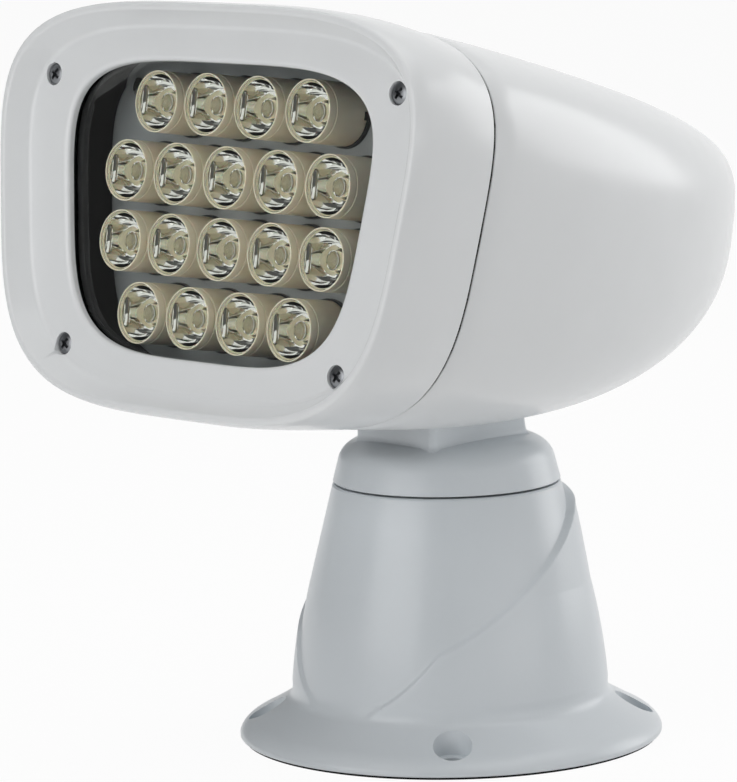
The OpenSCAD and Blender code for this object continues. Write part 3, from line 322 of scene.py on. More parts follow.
# Moulded acrylic of the diode lenses: water clear
CLEAR_ACRYLIC = ClearFinish("Clear moulded acrylic", "#fbfbf6", 1.49, 0.03, smear_mm=3.0)

# Frame nodes that stay as they are, in sight or inside, by finish
NODES_BY_FINISH: list[tuple[Finish, str]] = [
    (BLACK_EPDM, "base_gasket turntable_seal window_gasket seam_gasket"),
    (BLACK_ABS, "cable_gland gland_nut slot_shield"),
    (ALUMINIUM, "bottom_plate mechanism_plate heat_sink tilt_brackets tilt_spacer"),
    (STEEL, "pan_motor tilt_motor pan_shaft tilt_shaft bottom_plate_screws mechanism_plate_screws pan_motor_screws"),
    (STEEL, "tilt_motor_screws retainer_screws plate_screws chassis_screws bracket_screws driver_board_screws"),
    (BLACK_ZINC, "pan_gearbox tilt_gearbox pan_circlip shaft_circlips"),
    (BRONZE, "upper_pan_bush lower_pan_bush tilt_bushes pan_pinion tilt_pinion"),
    (SOLDER_MASK, "control_board driver_board"),
    (ACETAL, "pan_gear tilt_sector"),
    (PLATE_PAINT, "diode_plate"),
    (BLACK_MASK, "diode_boards"),
    (PHOSPHOR, "diode_emitters"),
]


def dress_nodes() -> None:
    """Gives every frame node that stays its finish."""
    for finish, names in NODES_BY_FINISH:
        for name in names.split():
            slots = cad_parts[name].data.materials
            slots.clear()
            slots.append(finish.material())
            LOG.info("%s: %s", name, finish.name)


def add_piece(name: str, mesh: Mesh, finish: Finish | ClearFinish, body: Body,
              stands_for: Sequence[str], sharp_deg: float = 40.0, place: Matrix = FROM_MM) -> None:
    """Closes a mesh and puts it in the scene as a piece of the object.

    Args:
        name: Name of the piece.
        mesh: Its mesh in millimetres; freed here.
        finish: Finish of its surface.
        body: Body that it moves with.
        stands_for: Frame nodes that it replaces.
        sharp_deg: Angle between faces above which an edge stays sharp.
        place: Carries the mesh into the scene, in metres.
    """
    bmesh.ops.transform(mesh, matrix=place, verts=mesh.verts)
    bmesh.ops.remove_doubles(mesh, verts=mesh.verts, dist=MERGE_MM * MM)
    bmesh.ops.recalc_face_normals(mesh, faces=mesh.faces)
    data = mesh_data(name, mesh)
    data.shade_smooth()
    data.set_sharp_from_angle(angle=math.radians(sharp_deg))
    data.materials.append(finish.material())
    piece = add_object(name, data)
    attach(piece, body.value)
    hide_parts(*stands_for)
    LOG.info("%s: %d faces, %s, on %s", name, len(data.polygons), finish.name, body.value)


def combine(solid: Mesh, tool: Mesh, operation: str = "DIFFERENCE") -> Mesh:
    """Joins or cuts two closed meshes.

    Args:
        solid: Mesh that is worked on; freed here.
        tool: Mesh that is joined to it or cut from it; freed here.
        operation: "UNION" or "DIFFERENCE".

    Returns:
        The new mesh.
    """
    objects = []
    for mesh in (solid, tool):
        bmesh.ops.remove_doubles(mesh, verts=mesh.verts, dist=MERGE_MM)
        bmesh.ops.recalc_face_normals(mesh, faces=mesh.faces)
        objects.append(add_object("worked", mesh_data("worked", mesh)))
    cut = objects[0].modifiers.new("cut", "BOOLEAN")
    cut.object = objects[1]
    cut.operation = operation
    cut.solver = "EXACT"
    made = bmesh.new()
    made.from_object(objects[0], bpy.context.evaluated_depsgraph_get())
    for worked in objects:
        data = worked.data
        bpy.data.objects.remove(worked)
        bpy.data.meshes.remove(data)
    return made


def copies(mesh: Mesh, places: Iterable[Matrix]) -> Mesh:
    """Repeats a mesh.

    Args:
        mesh: Mesh to repeat; freed here.
        places: Where each copy goes.

    Returns:
        One mesh that holds every copy.
    """
    data = mesh_data("repeated", mesh)
    made = bmesh.new()
    for place in places:
        start = len(made.verts)
        made.from_mesh(data)
        made.verts.ensure_lookup_table()
        bmesh.ops.transform(made, matrix=place, verts=made.verts[start:])
    bpy.data.meshes.remove(data)
    return made


def turn(profile: Sequence[Pair], axis: Vector, steps: int, closed: bool = False) -> Mesh:
    """Spins a profile right round.

    Args:
        profile: Points as radius and place along the axis.
        axis: Direction of the axis, +Y or +Z.
        steps: Number of faces round it.
        closed: Whether the last point joins the first.

    Returns:
        The turned mesh.
    """
    mesh = bmesh.new()
    verts = [mesh.verts.new(Vector((radius, 0, 0)) + axis * along) for radius, along in profile]
    pairs = list(zip(verts, verts[1:]))
    if closed:
        pairs.append((verts[-1], verts[0]))
    edges = [mesh.edges.new(pair) for pair in pairs]
    bmesh.ops.spin(mesh, geom=verts + edges, cent=(0, 0, 0), axis=axis, angle=FULL_TURN, steps=steps, use_merge=True)
    bmesh.ops.remove_doubles(mesh, verts=mesh.verts, dist=SEAM_MM)
    return mesh


def bow(start: float, bend: float, end: float, share: float) -> float:
    """Value of a quadratic curve at a share of its way."""
    return start * (1 - share) ** 2 + 2 * bend * share * (1 - share) + end * share * share


def arc(start: Pair, bend: Pair, end: Pair, steps: int) -> list[Pair]:
    """Points of a quadratic curve.

    Args:
        start: First point.
        bend: Point that pulls the curve.
        end: Last point.
        steps: Number of stretches.

    Returns:
        The points, ends included.
    """
    return [tuple(bow(*sides, i / steps) for sides in zip(start, bend, end)) for i in range(steps + 1)]


@dataclass(frozen=True)
class Oval:
    """Squared-off outline across the head, wider at its top by the taper; sizes in millimetres."""

    half_width: float
    top: float
    bottom: float
    squareness: float
    taper: float

    def grown(self, by: float) -> "Oval":
        """The outline moved outwards by a distance."""
        return replace(self, half_width=self.half_width + by, top=self.top + by, bottom=self.bottom - by)

    def towards(self, other: "Oval", share: float) -> "Oval":
        """The outline a share of the way to another one."""
        pairs = zip(vars(self).values(), vars(other).values())
        return Oval(*(a + (b - a) * share for a, b in pairs))

    def point(self, angle: float, depth: float) -> Vector:
        """Place on the outline.

        Args:
            angle: Angle round the outline, from +X towards its top.
            depth: Distance behind the front of the diode holders.

        Returns:
            The point in the head's own frame.
        """
        power = 2 / self.squareness
        rise = math.copysign(abs(math.sin(angle)) ** power, math.sin(angle))
        run = math.copysign(abs(math.cos(angle)) ** power, math.cos(angle))
        middle = (self.top + self.bottom) / 2
        half_height = (self.top - self.bottom) / 2
        return Vector((self.half_width * (1 + self.taper * rise) * run, depth, middle + half_height * rise))


Station = tuple[Oval, float]


def blend(a: Station, b: Station, share: float) -> Station:
    """The station a share of the way from one to another."""
    return a[0].towards(b[0], share), a[1] + (b[1] - a[1]) * share


def soften(chain: Sequence[tuple[Oval, float, float]], steps: int = 5) -> list[Station]:
    """Rounds a closed chain of stations where it turns.

    Args:
        chain: Outline, depth and how far from the turn its round starts, in millimetres.
        steps: Stretches in each round.

    Returns:
        The stations of the rounded chain.
    """
    stations = []
    for i, (oval, depth, soft) in enumerate(chain):
        here = (oval, depth)
        if soft <= 0:
            stations.append(here)
            continue
        ends = []
        for near in (chain[i - 1], chain[(i + 1) % len(chain)]):
            away = math.hypot(near[0].top - oval.top, near[1] - depth)
            ends.append(blend(here, near[:2], min(0.5, soft / away)))
        for k in range(steps + 1):
            t = k / steps
            stations.append(blend(blend(ends[0], here, t), blend(here, ends[1], t), t))
    return stations


def stack_rings(mesh: Mesh, count: int, closed: bool) -> None:
    """Extrudes the mesh's one ring of edges into a stack of rings, one unit apart along Z.

    Args:
        mesh: Mesh that holds the first ring at height 0.
        count: Number of rings.
        closed: Whether the last ring joins the first; if not, both ends are filled.
    """
    first = ring = list(mesh.edges)
    for _ in range(count - 1):
        grown = bmesh.ops.extrude_edge_only(mesh, edges=ring)["geom"]
        fresh = {part for part in grown if isinstance(part, bmesh.types.BMVert)}
        bmesh.ops.translate(mesh, vec=(0, 0, 1), verts=list(fresh))
        ring = [part for part in grown if isinstance(part, bmesh.types.BMEdge) and fresh.issuperset(part.verts)]
    if closed:
        bmesh.ops.bridge_loops(mesh, edges=first + ring)
    else:
        bmesh.ops.edgeloop_fill(mesh, edges=first)
        bmesh.ops.edgeloop_fill(mesh, edges=ring)


def loft(stations: Sequence[Station], segments: int, closed: bool) -> Mesh:
    """Draws a skin through outlines, ring by ring.

    Args:
        stations: Outlines with their depths, in order.
        segments: Number of faces round each ring.
        closed: Whether the last ring joins the first; if not, both ends are filled.

    Returns:
        The skin in the head's own frame, in millimetres.
    """
    mesh = bmesh.new()
    bmesh.ops.create_circle(mesh, segments=segments, radius=1.0)
    stack_rings(mesh, len(stations), closed)
    for vert in mesh.verts:
        oval, depth = stations[round(vert.co.z)]
        vert.co = oval.point(math.atan2(vert.co.y, vert.co.x), depth)
    return mesh


def across(places: Iterable[Pair]) -> list[Matrix]:
    """Moves to places across the head."""
    return [Matrix.Translation((x, 0, z)) for x, z in places]


def block(sizes: Sequence[float]) -> Mesh:
    """Makes a block about the origin.

    Args:
        sizes: Its sizes along X, Y and Z.

    Returns:
        The block's mesh.
    """
    mesh = bmesh.new()
    bmesh.ops.create_cube(mesh, size=1.0)
    bmesh.ops.scale(mesh, vec=sizes, verts=mesh.verts)
    return mesh


@dataclass
class Base:
    """Fixed base: a lacquered casting with a sloped flange and a raised shell; sizes in millimetres."""

    underside_z: float = 1.0
    flange_r: float = 80.0
    flange_lip: float = 2.5
    slope_r: float = 73.2
    slope_z: float = 8.5
    slope_deg: float = 29.0
    foot_r: float = 58.5
    foot_z: float = 22.0
    foot_round: float = 3.5
    mid_r: float = 52.2
    mid_z: float = 60.0
    top_r: float = 43.0
    top_z: float = 96.85
    wall: float = 3.5
    floor_z: float = 17.0
    ledge: float = 4.0
    deck_z: float = 94.0
    deck_t: float = 5.0
    bush_r: float = 14.0
    relief_z: float = 70.0
    relief_deg: float = 34.0
    relief_mid: float = 3.0
    relief_top: float = 3.2
    shoulder_z: float = 88.0
    shoulder_end_z: float = 95.0
    relief_least: float = 1.3
    relief_rise: float = 7.0
    relief_soft: float = 1.1
    relief_bend_y: float = -43.0
    relief_bend: float = 0.9
    hole_circle_r: float = 69.5
    hole_r: float = 3.25
    counterbore_r: float = 7.2
    counterbore_z: float = 5.5
    hole_count: int = 4
    edge_ease: float = 0.4
    bore_ease: float = 0.3
    lip_bend: Pair = (1.2, 2.4)
    foot_bend: float = 0.6
    rim_ease: Pair = (0.5, 0.6)
    wall_play: float = 0.1
    shoulder_power: float = 2.2
    steps_round: int = 512
    wall_step: float = 0.55

    def cone_r(self, z: float) -> float:
        """Radius of the straight cone, or its extension, at a height."""
        return self.top_r + (self.mid_r - self.top_r) * (self.top_z - z) / (self.top_z - self.mid_z)

    def slope_at(self, radius: float) -> float:
        """Height of the flange's slope at a radius."""
        return self.slope_z + (self.slope_r - radius) * math.tan(math.radians(self.slope_deg))

    def wall_r(self, z: float) -> float:
        """Radius of the plain wall at a height."""
        if z >= self.mid_z:
            return self.cone_r(z)
        share = (z - self.foot_z) / (self.mid_z - self.foot_z)
        bend = self.cone_r((self.foot_z + self.mid_z) / 2)
        return bow(self.foot_r, bend, self.mid_r, share)

    def raised_r(self, z: float) -> float:
        """Radius of the raised shell at a height."""
        top = self.cone_r(self.shoulder_z) + self.relief_top
        if z > self.shoulder_z:
            fall = (z - self.shoulder_z) / (self.shoulder_end_z - self.shoulder_z)
            return top + (self.wall_r(self.shoulder_end_z) - top) * min(fall, 1.0) ** self.shoulder_power
        share = (z - self.foot_z) / (self.shoulder_z - self.foot_z)
        bowed = bow(self.foot_r, self.mid_r + self.relief_mid, top, share)
        rise = min((z - self.foot_z) / self.relief_rise + 1, 1.0)
        return max(bowed, self.wall_r(z) + self.relief_least * rise)

    def edge_z(self, y: float) -> float:
        """Height of the raised shell's edge at a place from front to back."""
        slope = math.tan(math.radians(self.relief_deg))
        return self.relief_z + slope * y - self.relief_bend * max(self.relief_bend_y - y, 0.0)

    def profile(self) -> list[Pair]:
        """The closed outline of the casting, inside and out, without its raised shell.

        Returns:
            Points as radius and height.
        """
        inner_foot = self.foot_r - self.wall
        outer = [(inner_foot, self.underside_z), (self.flange_r - self.edge_ease, self.underside_z),
                 (self.flange_r, self.underside_z + self.edge_ease)]
        bend_in, bend_down = self.lip_bend
        outer += arc((self.flange_r, self.flange_lip), (self.flange_r - bend_in, self.slope_z - bend_down),
                     (self.slope_r, self.slope_z), 8)
        near, bend = self.foot_r + self.foot_round, self.foot_r + self.foot_bend
        outer += arc((near, self.slope_at(near)), (bend, self.slope_at(bend)), (self.foot_r, self.foot_z), 8)
        rows = round((self.top_z - 1 - self.foot_z) / self.wall_step)
        for i in range(1, rows + 1):
            z = self.foot_z + (self.top_z - self.rim_ease[1] - self.foot_z) * i / rows
            outer.append((self.wall_r(z), z))
        rim = self.top_r - self.wall
        under_deck = self.deck_z - self.deck_t
        inner = [(self.top_r - self.rim_ease[0], self.top_z), (rim, self.top_z), (rim, self.deck_z),
                 (self.bush_r, self.deck_z), (self.bush_r, under_deck),
                 (self.wall_r(under_deck) - self.wall, under_deck),
                 (self.mid_r - self.wall, self.mid_z), (inner_foot - self.ledge, self.floor_z + self.ledge),
                 (inner_foot - self.ledge, self.floor_z), (inner_foot, self.floor_z)]
        return outer + inner

    def raise_shell(self, mesh: Mesh) -> None:
        """Moves the outer wall out to the raised shell, with a soft edge."""
        lean = math.cos(math.radians(self.relief_deg))
        for vert in mesh.verts:
            radius = math.hypot(vert.co.x, vert.co.y)
            z = vert.co.z
            if not self.foot_z - self.relief_rise < z < self.shoulder_end_z:
                continue
            if radius < self.wall_r(z) - self.wall_play:
                continue
            inside = (self.edge_z(vert.co.y) - z) * lean / self.relief_soft + 0.5
            share = min(max(inside, 0.0), 1.0)
            share = share * share * (3 - 2 * share)
            grown = 1 + share * max(self.raised_r(z) - self.wall_r(z), 0.0) / radius
            vert.co.x *= grown
            vert.co.y *= grown

    def build(self) -> None:
        """Turns the casting, raises its shell and bores the flange."""
        mesh = turn(self.profile(), UP, self.steps_round, True)
        self.raise_shell(mesh)
        bore = turn([(0, 0), (self.hole_r, 0), (self.hole_r, self.counterbore_z - self.bore_ease),
                     (self.hole_r + self.bore_ease, self.counterbore_z), (self.counterbore_r, self.counterbore_z),
                     (self.counterbore_r, self.foot_z), (0, self.foot_z)], UP, 48)
        angles = [FULL_TURN * (i + 0.5) / self.hole_count for i in range(self.hole_count)]
        bores = copies(bore, [Matrix.Rotation(a, 4, "Z") @ Matrix.Translation((self.hole_circle_r, 0, 0))
                              for a in angles])
        mesh = combine(mesh, bores)
        add_piece("base_casting", mesh, GREY_LACQUER, Body.BASE, ["base_housing"], 32.0)


@dataclass
class Turntable:
    """Cap and neck that pan on the base, one lacquered casting; sizes in millimetres."""

    bottom_z: float = 97.65
    bottom_r: float = 42.9
    lean: float = 2.0
    side_h: float = 8.0
    dome_r: float = 32.0
    height: float = 17.55
    dome: float = 1.2
    wall: float = 3.0
    neck_w: float = 41.5
    neck_l: float = 49.8
    neck_round: float = 3.0
    neck_y: float = -3.0
    neck_top_z: float = 196.0
    flare: float = 0.9
    flare_h: float = 2.4
    back_flare: float = 2.3
    back_flare_h: float = 14.0
    back_power: float = 1.6
    sink: float = 1.2
    edge_ease: float = 0.4
    edge_bend: Pair = (1.2, 2.2)
    steps_round: int = 192

    @property
    def edge_z(self) -> float:
        """Height where the cap's rounded edge meets its top."""
        return self.bottom_z + self.height - self.dome

    def edge_curve(self) -> list[Pair]:
        """The cap's rounded edge, as radius and height."""
        shoulder_r = self.bottom_r - self.lean
        bend_in, bend_down = self.edge_bend
        return arc((shoulder_r, self.bottom_z + self.side_h), (shoulder_r - bend_in, self.edge_z - bend_down),
                   (self.dome_r, self.edge_z), 12)

    def top_at(self, radius: float) -> float:
        """Height of the cap's top at a radius.

        Args:
            radius: Distance from the pan axis.

        Returns:
            Height on the dome, or on the rounded edge outside it.
        """
        if radius <= self.dome_r:
            return self.edge_z + self.dome * (1 - (radius / self.dome_r) ** 2)
        curve = self.edge_curve()
        for (outer_r, low), (inner_r, high) in zip(curve, curve[1:]):
            if radius >= inner_r:
                return low + (high - low) * max((outer_r - radius) / (outer_r - inner_r), 0.0)
        return self.edge_z

    def cap(self) -> Mesh:
        """Turns the cap.

        Returns:
            The cap's mesh, in millimetres.
        """
        shoulder_r = self.bottom_r - self.lean
        under = self.edge_z - self.wall
        profile = [(0.0, under), (shoulder_r - self.wall - 2, under),
                   (shoulder_r - self.wall, self.bottom_z + self.side_h - 1),
                   (self.bottom_r - self.wall, self.bottom_z),
                   (self.bottom_r - self.edge_ease, self.bottom_z), (self.bottom_r, self.bottom_z + self.edge_ease)]
        profile += self.edge_curve()
        profile += [(radius, self.top_at(radius)) for radius in (self.dome_r * (1 - i / 6) for i in range(1, 7))]
        return turn(profile, UP, self.steps_round)

    def neck(self) -> Mesh:
        """Extrudes the neck from a rounded rectangle, with a foot that flares into the cap's top.

        Returns:
            The neck's mesh, in millimetres.
        """
        mesh = bmesh.new()
        bmesh.ops.create_grid(mesh, x_segments=1, y_segments=1, size=0.5)
        bmesh.ops.scale(mesh, vec=(self.neck_w, self.neck_l, 1), verts=mesh.verts)
        bmesh.ops.bevel(mesh, geom=list(mesh.verts), offset=self.neck_round, offset_type="OFFSET", segments=8,
                        profile=0.5, affect="VERTICES", material=-1)
        bmesh.ops.delete(mesh, geom=list(mesh.faces), context="FACES_ONLY")
        heights = [-self.sink] + [self.flare_h * share for share in (0.0, 0.15, 0.35, 0.6, 1.0)]
        heights += [self.back_flare_h * share for share in (0.3, 0.5, 0.75, 1.0)]
        stack_rings(mesh, len(heights) + 1, False)
        for vert in mesh.verts:
            row = round(vert.co.z)
            if row == len(heights):
                vert.co = Vector((vert.co.x, vert.co.y + self.neck_y, self.neck_top_z))
                continue
            height = max(heights[row], 0.0)
            out = self.flare * max(1 - height / self.flare_h, 0.0) ** 3
            side = Vector((2 * vert.co.x / self.neck_w, 2 * vert.co.y / self.neck_l))
            back = self.back_flare * (1 - height / self.back_flare_h) ** self.back_power if side.y > 0.5 else 0.0
            x = vert.co.x + out * side.x
            y = vert.co.y + self.neck_y + out * side.y + back
            vert.co = Vector((x, y, self.top_at(math.hypot(x, y)) + heights[row]))
        return mesh

    def build(self) -> None:
        """Joins the neck to the cap."""
        mesh = combine(self.cap(), self.neck(), "UNION")
        add_piece("turntable_casting", mesh, GREY_LACQUER, Body.TURNTABLE, ["yoke"])


@dataclass
class Head:
    """Tilting head: white housings, the window and the diodes behind it; sizes in millimetres."""

    tilt_y: float = -3.0
    tilt_z: float = 180.0
    pitch_deg: float = 8.6
    axis_depth: float = 110.5
    axis_rise: float = -11.0
    rim: Oval = Oval(104.0, 72.5, -72.5, 3.7, 0.1)
    window: Oval = Oval(76.3, 53.1, -53.1, 3.96, 0.1)
    seam: Oval = Oval(104.0, 71.8, -73.4, 3.6, 0.1)
    rim_depth: float = 16.2
    rim_swell: float = 1.8
    face_depth: float = 7.6
    band_w: float = 6.8
    lip_round: float = 2.0
    bezel_depth: float = 23.4
    bezel_step: float = 0.3
    seam_t: float = 1.2
    wall: float = 3.2
    tail_rise: float = 25.4
    tail_squareness: float = 3.0
    housing_l: float = 230.0
    slot: Triple = (45.0, 85.2, 80.0)
    slot_round: float = 6.0
    screw_places: tuple[Pair, ...] = ((89.7, 45.9), (-89.7, 45.9), (71.6, -52.4), (-71.6, -52.4))
    screw_head_r: float = 4.0
    screw_head_h: float = 2.6
    screw_r: float = 2.0
    screw_end: float = 34.6
    counterbore_r: float = 4.2
    counterbore_depth: float = 2.8
    gasket_t: float = 1.0
    seat_depth: float = 3.4
    glass_t: float = 2.5
    glass_lap: float = 6.0
    retainer_lap: float = 1.2
    holder_r: float = 11.25
    holder_l: float = 18.4
    holder_wall: float = 1.2
    holder_rim: float = 0.5
    plate_depth: float = 20.0
    diode_pitch: float = 26.4
    row_pitch: float = 25.6
    row_counts: tuple[int, ...] = (4, 5, 5, 4)
    rim_flat: Pair = (-1.7, 0.7)
    side_start: float = 4.6
    side_bend: float = 4.0
    bore_clear: float = 4.0
    housing_edge: float = 1.0
    width_fade: Pair = (2.0, 1.7)
    top_fade: Pair = (1.38, 1.83)
    bottom_fade: Pair = (3.0, 1.92)
    ring_crowding: float = 2.2
    screw_dome: float = 1.0
    pane_ease: float = 0.4
    frame_lip: float = 2.0
    frame_t: float = 3.0
    skirt_root: float = 1.8
    skirt_end: Pair = (3.5, 4.7)
    skirt_play: float = 0.4
    slot_drop: float = 60.0
    cross_bar: Triple = (6.2, 3.0, 1.35)
    cross_taper: Triple = (0.5, 1.0, 0.75)
    cross_lift: float = 0.2
    cross_angles: Pair = (math.pi / 5, math.pi * 0.7)
    snap_notch: Triple = (3.0, 2.8, 3.2)
    holder_eases: Triple = (0.15, 0.25, 0.2)
    holder_groove: tuple[Pair, ...] = ((0.0, 3.0), (0.3, 3.2), (0.3, 3.6), (0.0, 3.8))
    floor_hole_r: float = 4.4
    floor_t: float = 1.5
    lens_seat: float = 2.2
    lens_play: float = 0.05
    lens_front: float = 0.3
    lens_foot_r: float = 4.6
    pocket_r: float = 3.5
    pocket_depth: float = 7.6
    pocket_dome: float = 1.2
    segments: int = 160
    rings: int = 44
    tail_share: float = 0.99995
    inner_share: float = 0.99
    screw_steps: int = 48
    diode_steps: int = 64

    @property
    def place(self) -> Matrix:
        """Where the head's own frame sits, millimetres to metres."""
        turned = Matrix.Rotation(math.radians(-self.pitch_deg), 4, "X")
        axis = Matrix.Translation(Vector((0, self.tilt_y, self.tilt_z)) * MM)
        return axis @ turned @ FROM_MM @ Matrix.Translation((0, -self.axis_depth, -self.axis_rise))

    @property
    def seat(self) -> float:
        """Depth of the step that the window gasket lies on."""
        return self.seat_depth - self.face_depth

    @property
    def glass_front(self) -> float:
        """Depth of the glass's front face."""
        return self.seat + self.gasket_t

    @property
    def diode_places(self) -> list[Pair]:
        """Where the diodes stand, row by row."""
        places = []
        for row, count in enumerate(self.row_counts):
            rise = ((len(self.row_counts) - 1) / 2 - row) * self.row_pitch
            places += [((i - (count - 1) / 2) * self.diode_pitch, rise) for i in range(count)]
        return places

    def add(self, name: str, mesh: Mesh, finish: Finish | ClearFinish, slot: str,
            stands_for: Sequence[str], sharp_deg: float = 40.0) -> None:
        """Carries a mesh from the head's own frame into the scene."""
        add_piece(name, mesh, finish, Body.HEAD, stands_for, sharp_deg, self.place)

    def bezel(self) -> None:
        """Front housing: rounded rim, dished band, flat face and the lip round the window."""
        back = self.seam.grown(self.bezel_step)
        front = -self.face_depth
        chain = [
            (back.grown(-self.wall), self.bezel_depth, 0.3),
            (self.rim.grown(self.rim_swell - self.wall), self.seat, 1.0),
            (self.window, self.seat, 0.3),
            (self.window, front, self.lip_round),
            (self.rim.grown(-self.band_w), front, 1.3),
            (self.rim.grown(self.rim_flat[0]), -self.rim_depth, 0.8),
            (self.rim.grown(self.rim_flat[1]), -self.rim_depth, 1.0),
            (self.rim.grown(self.rim_swell), -self.rim_depth + self.side_start, 3.0),
            (self.rim.grown(self.rim_swell), self.side_bend, 8.0),
            (back, self.bezel_depth, 0.5),
        ]
        mesh = loft(soften(chain), self.segments, True)
        start, end = -self.rim_depth - self.bore_clear, front + self.counterbore_depth
        profile = [(0, start), (self.counterbore_r, start), (self.counterbore_r, end), (0, end)]
        bore = turn(profile, DEPTH, self.screw_steps)
        mesh = combine(mesh, copies(bore, across(self.screw_places)))
        self.add("front_bezel", mesh, WHITE_ASA, "white_plastic", ["bezel"], 35.0)

    def housing_oval(self, share: float) -> Oval:
        """Outline of the rear housing at a share of its length."""
        def fade(grow: float, root: float) -> float:
            """Share of the seam's size that is left here."""
            return max(1 - share ** grow, 0.0) ** (1 / root)
        lift = self.tail_rise * share * share
        return Oval(self.seam.half_width * fade(*self.width_fade), lift + self.seam.top * fade(*self.top_fade),
                    lift + self.seam.bottom * fade(*self.bottom_fade),
                    self.seam.squareness + (self.tail_squareness - self.seam.squareness) * share,
                    self.seam.taper * (1 - share))

    def rear_housing(self) -> None:
        """Rear housing: a shell that tapers to a rounded tail, slotted below for the neck."""
        start = self.bezel_depth + self.seam_t
        shares = [1 - (1 - i / self.rings) ** self.ring_crowding for i in range(self.rings)]
        shares.append(self.tail_share)
        edge = self.housing_edge
        outer = [(self.housing_oval(s), start + s * self.housing_l) for s in shares]
        inner = [(self.housing_oval(s * self.inner_share).grown(-self.wall), start + s * (self.housing_l - self.wall))
                 for s in shares[:-3]]
        front = [(self.seam.grown(-edge), start), (self.seam.grown(-0.3 * edge), start + 0.3 * edge)]
        outer[0] = (self.seam, start + edge)
        mesh = loft(inner[::-1] + front + outer, self.segments, False)
        bmesh.ops.transform(mesh, matrix=self.place, verts=mesh.verts)
        bmesh.ops.scale(mesh, vec=(1 / MM,) * 3, verts=mesh.verts)
        mesh = combine(mesh, self.slot_cutter())
        add_piece("rear_shell", mesh, WHITE_ASA, Body.HEAD, ["rear_housing"], 35.0)

    def slot_cutter(self) -> Mesh:
        """Upright rounded block that cuts the slot for the neck.

        Returns:
            The block's mesh in the frame, in millimetres.
        """
        mesh = block(self.slot)
        upright = [e for e in mesh.edges if abs(e.verts[0].co.z - e.verts[1].co.z) > 1]
        bmesh.ops.bevel(mesh, geom=upright, offset=self.slot_round, offset_type="OFFSET", segments=6, profile=0.5,
                        affect="EDGES", material=-1)
        bmesh.ops.translate(mesh, vec=(0, self.tilt_y, self.tilt_z - self.slot_drop), verts=mesh.verts)
        return mesh

    def bezel_screws(self) -> None:
        """Domed screws with a cross recess."""
        under = self.counterbore_depth - self.face_depth
        top = under - self.screw_head_h
        edge = top + self.screw_dome
        head = [(0.0, top)] + [(self.screw_head_r * math.sin(a), edge - self.screw_dome * math.cos(a))
                               for a in (0.3, 0.6, 0.9, 1.2, 1.45)]
        profile = head + [(self.screw_head_r, edge + 0.3), (self.screw_head_r, under), (self.screw_r, under),
                          (self.screw_r, self.screw_end - 1.5), (0.3, self.screw_end), (0.0, self.screw_end)]
        screw = turn(profile, DEPTH, self.screw_steps)
        for angle in self.cross_angles:
            bar = block(self.cross_bar)
            bmesh.ops.scale(bar, vec=self.cross_taper, verts=[v for v in bar.verts if v.co.y > 0])
            place = Matrix.Translation((0, top + self.cross_lift, 0)) @ Matrix.Rotation(angle, 4, "Y")
            bmesh.ops.transform(bar, matrix=place, verts=bar.verts)
            screw = combine(screw, bar)
        mesh = copies(screw, across(self.screw_places))
        self.add("bezel_cross_screws", mesh, BLACK_ZINC, "dark_metal", ["bezel_screws"], 30.0)

    def glass(self) -> None:
        """Window pane with eased edges."""
        pane = self.window.grown(self.glass_lap)
        ease = self.pane_ease
        rear = self.glass_front + self.glass_t
        stations = [(pane.grown(-ease), self.glass_front), (pane, self.glass_front + ease), (pane, rear - ease),
                    (pane.grown(-ease), rear)]
        self.add("window_pane", loft(stations, self.segments, False), WINDOW_GLASS, "clear_glass", ["window_glass"])

    def retainer(self) -> None:
        """Black frame behind the glass, with a skirt that hides the inside of the bezel."""
        front = self.glass_front + self.glass_t
        inner = self.window.grown(self.retainer_lap)
        outer = self.window.grown(self.glass_lap)
        back, end = front + self.frame_t, self.plate_depth - self.skirt_play
        chain = [(inner, front, 0.3), (inner, front + self.frame_lip, 0.5)]
        chain += [(inner.grown(out), end, 0.2) for out in self.skirt_end]
        chain += [(inner.grown(self.skirt_root), back, 0.5), (outer, back, 0.3), (outer, front, 0.3)]
        self.add("glass_frame", loft(soften(chain, 3), self.segments, True), BLACK_ABS, "black_plastic",
                 ["glass_retainer"])

    def diodes(self) -> None:
        """Cream holders with their snap notches, and the clear lenses in them."""
        outside = self.holder_r
        inside = outside - self.holder_wall
        length = self.holder_l
        seat_r = outside - self.holder_rim
        lip, ease, foot = self.holder_eases
        profile = arc((seat_r, lip), (seat_r, 0.0), (seat_r + lip, 0.0), 3)
        profile += arc((outside - ease, 0.0), (outside, 0.0), (outside, ease), 3)
        profile += [(outside - inwards, along) for inwards, along in self.holder_groove]
        profile += arc((outside, length - foot), (outside, length), (outside - foot, length), 3)
        profile += [(self.floor_hole_r, length), (self.floor_hole_r, length - self.floor_t),
                    (inside, length - self.floor_t), (inside, self.lens_seat), (seat_r, self.lens_seat)]
        holder = turn(profile, DEPTH, self.diode_steps, True)
        notches = copies(block(self.snap_notch), [
            Matrix.Rotation(math.radians(a), 4, "Y") @ Matrix.Translation((outside, length, 0))
            for a in (0, 90, 180, 270)])
        holder = combine(holder, notches)
        places = across(self.diode_places)
        self.add("diode_cups", copies(holder, places), CREAM_PC, "cream_plastic", ["diode_holders"], 30.0)
        front, back, pocket = self.lens_front, length - self.lens_seat, length - self.pocket_depth
        wide, narrow = inside - 2 * self.lens_play, self.lens_foot_r
        lip_r, lip = seat_r - self.lens_play, self.lens_seat - self.lens_play
        curve = [(narrow + (wide - narrow) * math.sqrt(1 - i / 16), lip + (back - lip) * i / 16) for i in range(17)]
        dome = [(self.pocket_r * math.cos(a), pocket + self.pocket_dome * math.sin(a))
                for a in (0.0, 0.4, 0.8, 1.2, math.pi / 2)]
